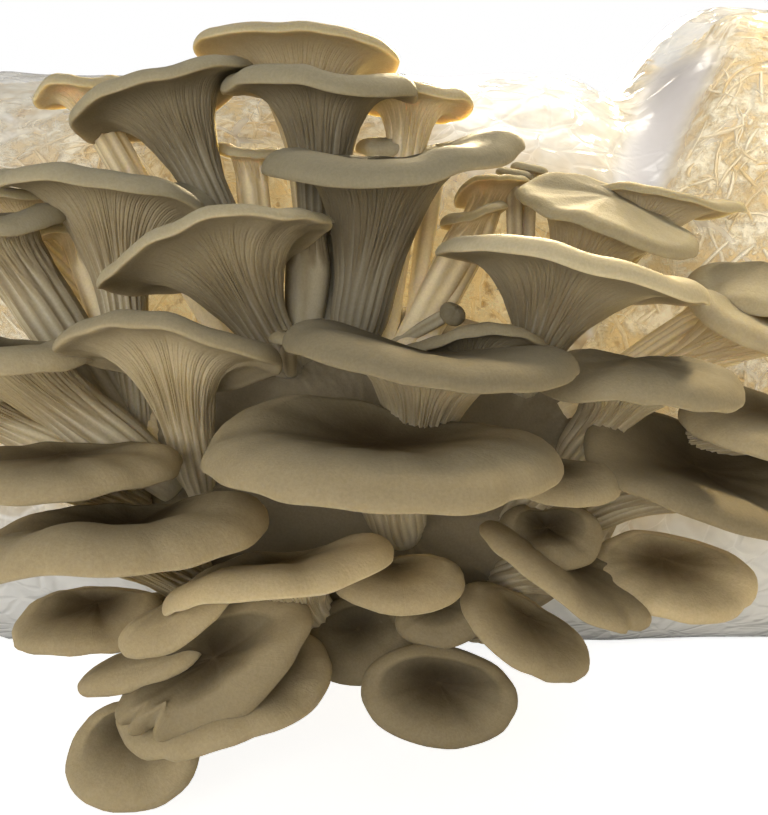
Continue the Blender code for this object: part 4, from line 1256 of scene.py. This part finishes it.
class ClusterSettings(bpy.types.PropertyGroup):
    cap_colour: colour_setting("Cap", "Colour of the caps' tops", (0.385, 0.325, 0.205))
    cap_dark: colour_setting("Cap mottling", "Darker patches on the caps", (0.30, 0.246, 0.146))
    # painted shade in the caps' hollows
    hollow_shade_colour: colour_setting("Cap hollow", "Colour in the hollow of a cap", (0.135, 0.092, 0.042))
    edge_colour: colour_setting("Cap edge", "Colour of the rolled edges", (0.51, 0.44, 0.295))
    gill_colour: colour_setting("Gills", "Colour of the gills near the edge", (0.60, 0.51, 0.345))
    # painted shade between the gills
    gill_shade: colour_setting("Gill valleys", "Colour between the gills", (0.30, 0.226, 0.132))
    # painted highlight on the ribs' tops
    rib_highlight_colour: colour_setting("Ribs", "Colour of the ribs' tops", (0.92, 0.85, 0.66))
    stem_colour: colour_setting("Stems", "Colour of the stems", (0.72, 0.64, 0.46))
    gill_spacing: FloatProperty(name="Gill spacing", description="Between gills at the edge of a cap",
                                default=1.55 * MM, min=0.001, max=0.01, unit="LENGTH")
    gill_height: FloatProperty(name="Gill height", description="How far the gills stand out",
                               default=0.9 * MM, min=0.0, max=0.005, unit="LENGTH")
    glow: FloatProperty(name="Glow", description="Share of light that enters the flesh",
                        default=0.5, min=0.0, max=1.0, subtype="FACTOR")
    thin_glow: FloatProperty(name="Glow of thin caps",
                             description="Share of light that enters the far, thin caps",
                             default=0.9, min=0.0, max=1.0, subtype="FACTOR")
    # painted glow of the thin caps
    thin_shine: FloatProperty(name="Sun through thin caps",
                              description="Golden light that leaves the far, thin caps",
                              default=0.13, min=0.0, max=5.0)
    glow_depth: FloatProperty(name="Glow depth", description="How far light travels inside the flesh",
                              default=4 * MM, min=0.0, max=0.05, unit="LENGTH")


class BagSettings(bpy.types.PropertyGroup):
    film_colour: colour_setting("Film", "Tint of the clear film", (0.86, 0.86, 0.85))
    fold_colour: colour_setting("Film fold", "Colour where the film is folded double", (0.62, 0.605, 0.65))
    film_cover: FloatProperty(name="Film haze", description="How much the flat film hides",
                              default=0.08, min=0.0, max=1.0, subtype="FACTOR")
    # painted glow of daylight on the film
    film_glare: FloatProperty(name="Film glare", description="Daylight caught by the film above the cluster",
                              default=0.45, min=0.0, max=5.0)
    crease_depth: FloatProperty(name="Crease depth", description="Height of the film's folds",
                                default=5 * MM, min=0.0, max=0.02, unit="LENGTH")
    straw_colour: colour_setting("Straw", "Colour of the pale strands", (0.97, 0.935, 0.83))
    straw_dark: colour_setting("Dark straw", "Colour of the dark strands", (0.82, 0.65, 0.37))
    core_colour: colour_setting("Straw core", "Colour of the packed straw below", (0.95, 0.9, 0.76))
    # painted glow of daylight through the straw
    straw_glow: FloatProperty(name="Straw glow", description="Daylight that comes through the strands",
                              default=0.35, min=0.0, max=5.0)
    # painted glow of daylight through the packed straw
    core_glow: FloatProperty(name="Core glow", description="Daylight that comes through the straw",
                             default=0.35, min=0.0, max=5.0)
    strands: IntProperty(name="Strands", description="Number of straws on the core",
                         default=9000, min=100, max=12000)
    strand_length: FloatProperty(name="Strand length", description="Usual length of a straw",
                                 default=16 * MM, min=0.005, max=0.2, unit="LENGTH")
    twine_colour: colour_setting("Twine", "Colour of the tie", (0.55, 0.44, 0.26))


class StageSettings(bpy.types.PropertyGroup):
    floor_colour: colour_setting("Floor", "Colour of the floor", (0.92, 0.92, 0.91))
    floor_light: FloatProperty(name="Floor light", description="Brightness of the lit floor",
                               default=0.8, min=0.0, max=5.0)
    lens: FloatProperty(name="Lens", description="Focal length of the camera",
                        default=42.19, min=10, max=200, subtype="DISTANCE_CAMERA")
    back_light: FloatProperty(name="Light behind", description="Power of the warm light behind",
                              default=125.0, min=0.0, max=1000.0, subtype="POWER")
    side_light: FloatProperty(name="Light from the right",
                              description="Power of the warm light on the right",
                              default=60.0, min=0.0, max=1000.0, subtype="POWER")
    top_light: FloatProperty(name="Light above", description="Power of the light above",
                             default=2.0, min=0.0, max=1000.0, subtype="POWER")
    front_light: FloatProperty(name="Fill light", description="Power of the soft light in front",
                               default=9.5, min=0.0, max=1000.0, subtype="POWER")
    room_light: FloatProperty(name="Room light", description="Strength of the white surroundings",
                              default=0.19, min=0.0, max=10.0)


class GROWBAG_OT_mushrooms(bpy.types.Operator):
    """Grow every mushroom of the cluster"""
    bl_idname = "growbag.mushrooms"
    bl_label = "Mushrooms"

    def execute(self, context):
        settings = context.scene.growbag_cluster
        flesh = flesh_material(FLESH_NAME, settings, settings.glow)
        thin_flesh = flesh_material("thin mushroom flesh", settings, settings.thin_glow, settings.thin_shine)
        for shape in MUSHROOMS:
            make_mushroom(shape, settings, thin_flesh if shape.name in THIN else flesh)
        return {"FINISHED"}


class GROWBAG_OT_stem_base(bpy.types.Operator):
    """Add the mass of stem ends that the mushrooms grow from"""
    bl_idname = "growbag.stem_base"
    bl_label = "Fused stem ends"

    def execute(self, context):
        make_stem_base(bpy.data.materials[FLESH_NAME])
        return {"FINISHED"}


class GROWBAG_OT_straw(bpy.types.Operator):
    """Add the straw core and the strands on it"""
    bl_idname = "growbag.straw"
    bl_label = "Straw"

    def execute(self, context):
        settings = context.scene.growbag_bag
        make_straw_core(core_material(settings))
        make_straw_strands(settings, straw_material(settings))
        return {"FINISHED"}


class GROWBAG_OT_film(bpy.types.Operator):
    """Add the crinkled clear film"""
    bl_idname = "growbag.film"
    bl_label = "Film"

    def execute(self, context):
        settings = context.scene.growbag_bag
        make_film(settings, film_material(settings))
        return {"FINISHED"}


class GROWBAG_OT_tie(bpy.types.Operator):
    """Tie the neck of the bag with twine"""
    bl_idname = "growbag.tie"
    bl_label = "Twine tie"

    def execute(self, context):
        make_twine(twine_material(context.scene.growbag_bag))
        return {"FINISHED"}


class GROWBAG_OT_stage(bpy.types.Operator):
    """Add the floor, the camera and the lights, which need the bag's pieces"""
    bl_idname = "growbag.stage"
    bl_label = "Stage"

    def execute(self, context):
        make_stage(context.scene.growbag_stage)
        return {"FINISHED"}


OPERATORS = (GROWBAG_OT_mushrooms, GROWBAG_OT_stem_base, GROWBAG_OT_straw, GROWBAG_OT_film, GROWBAG_OT_tie,
             GROWBAG_OT_stage)


class GROWBAG_PT_panel(bpy.types.Panel):
    """The grow bag's settings and steps"""
    bl_idname = "GROWBAG_PT_panel"
    bl_label = "Grow bag"
    bl_space_type = "VIEW_3D"
    bl_region_type = "UI"
    bl_category = "Grow bag"

    def draw(self, context):
        for group in (context.scene.growbag_cluster, context.scene.growbag_bag, context.scene.growbag_stage):
            box = self.layout.box()
            for name in group.__annotations__:
                box.prop(group, name)
        for operator in OPERATORS:
            self.layout.operator(operator.bl_idname)


SETTINGS = {"growbag_cluster": ClusterSettings, "growbag_bag": BagSettings, "growbag_stage": StageSettings}


def register():
    for cls in (*SETTINGS.values(), *OPERATORS, GROWBAG_PT_panel):
        bpy.utils.register_class(cls)
    for name, cls in SETTINGS.items():
        setattr(bpy.types.Scene, name, PointerProperty(type=cls))


def unregister():
    for name in SETTINGS:
        delattr(bpy.types.Scene, name)
    for cls in (GROWBAG_PT_panel, *OPERATORS, *SETTINGS.values()):
        bpy.utils.unregister_class(cls)


def main():
    """Register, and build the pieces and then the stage."""
    register()
    bpy.ops.growbag.mushrooms()
    bpy.ops.growbag.stem_base()
    bpy.ops.growbag.straw()
    bpy.ops.growbag.film()
    bpy.ops.growbag.tie()
    bpy.ops.growbag.stage()


if __name__ == "__main__":
    main()
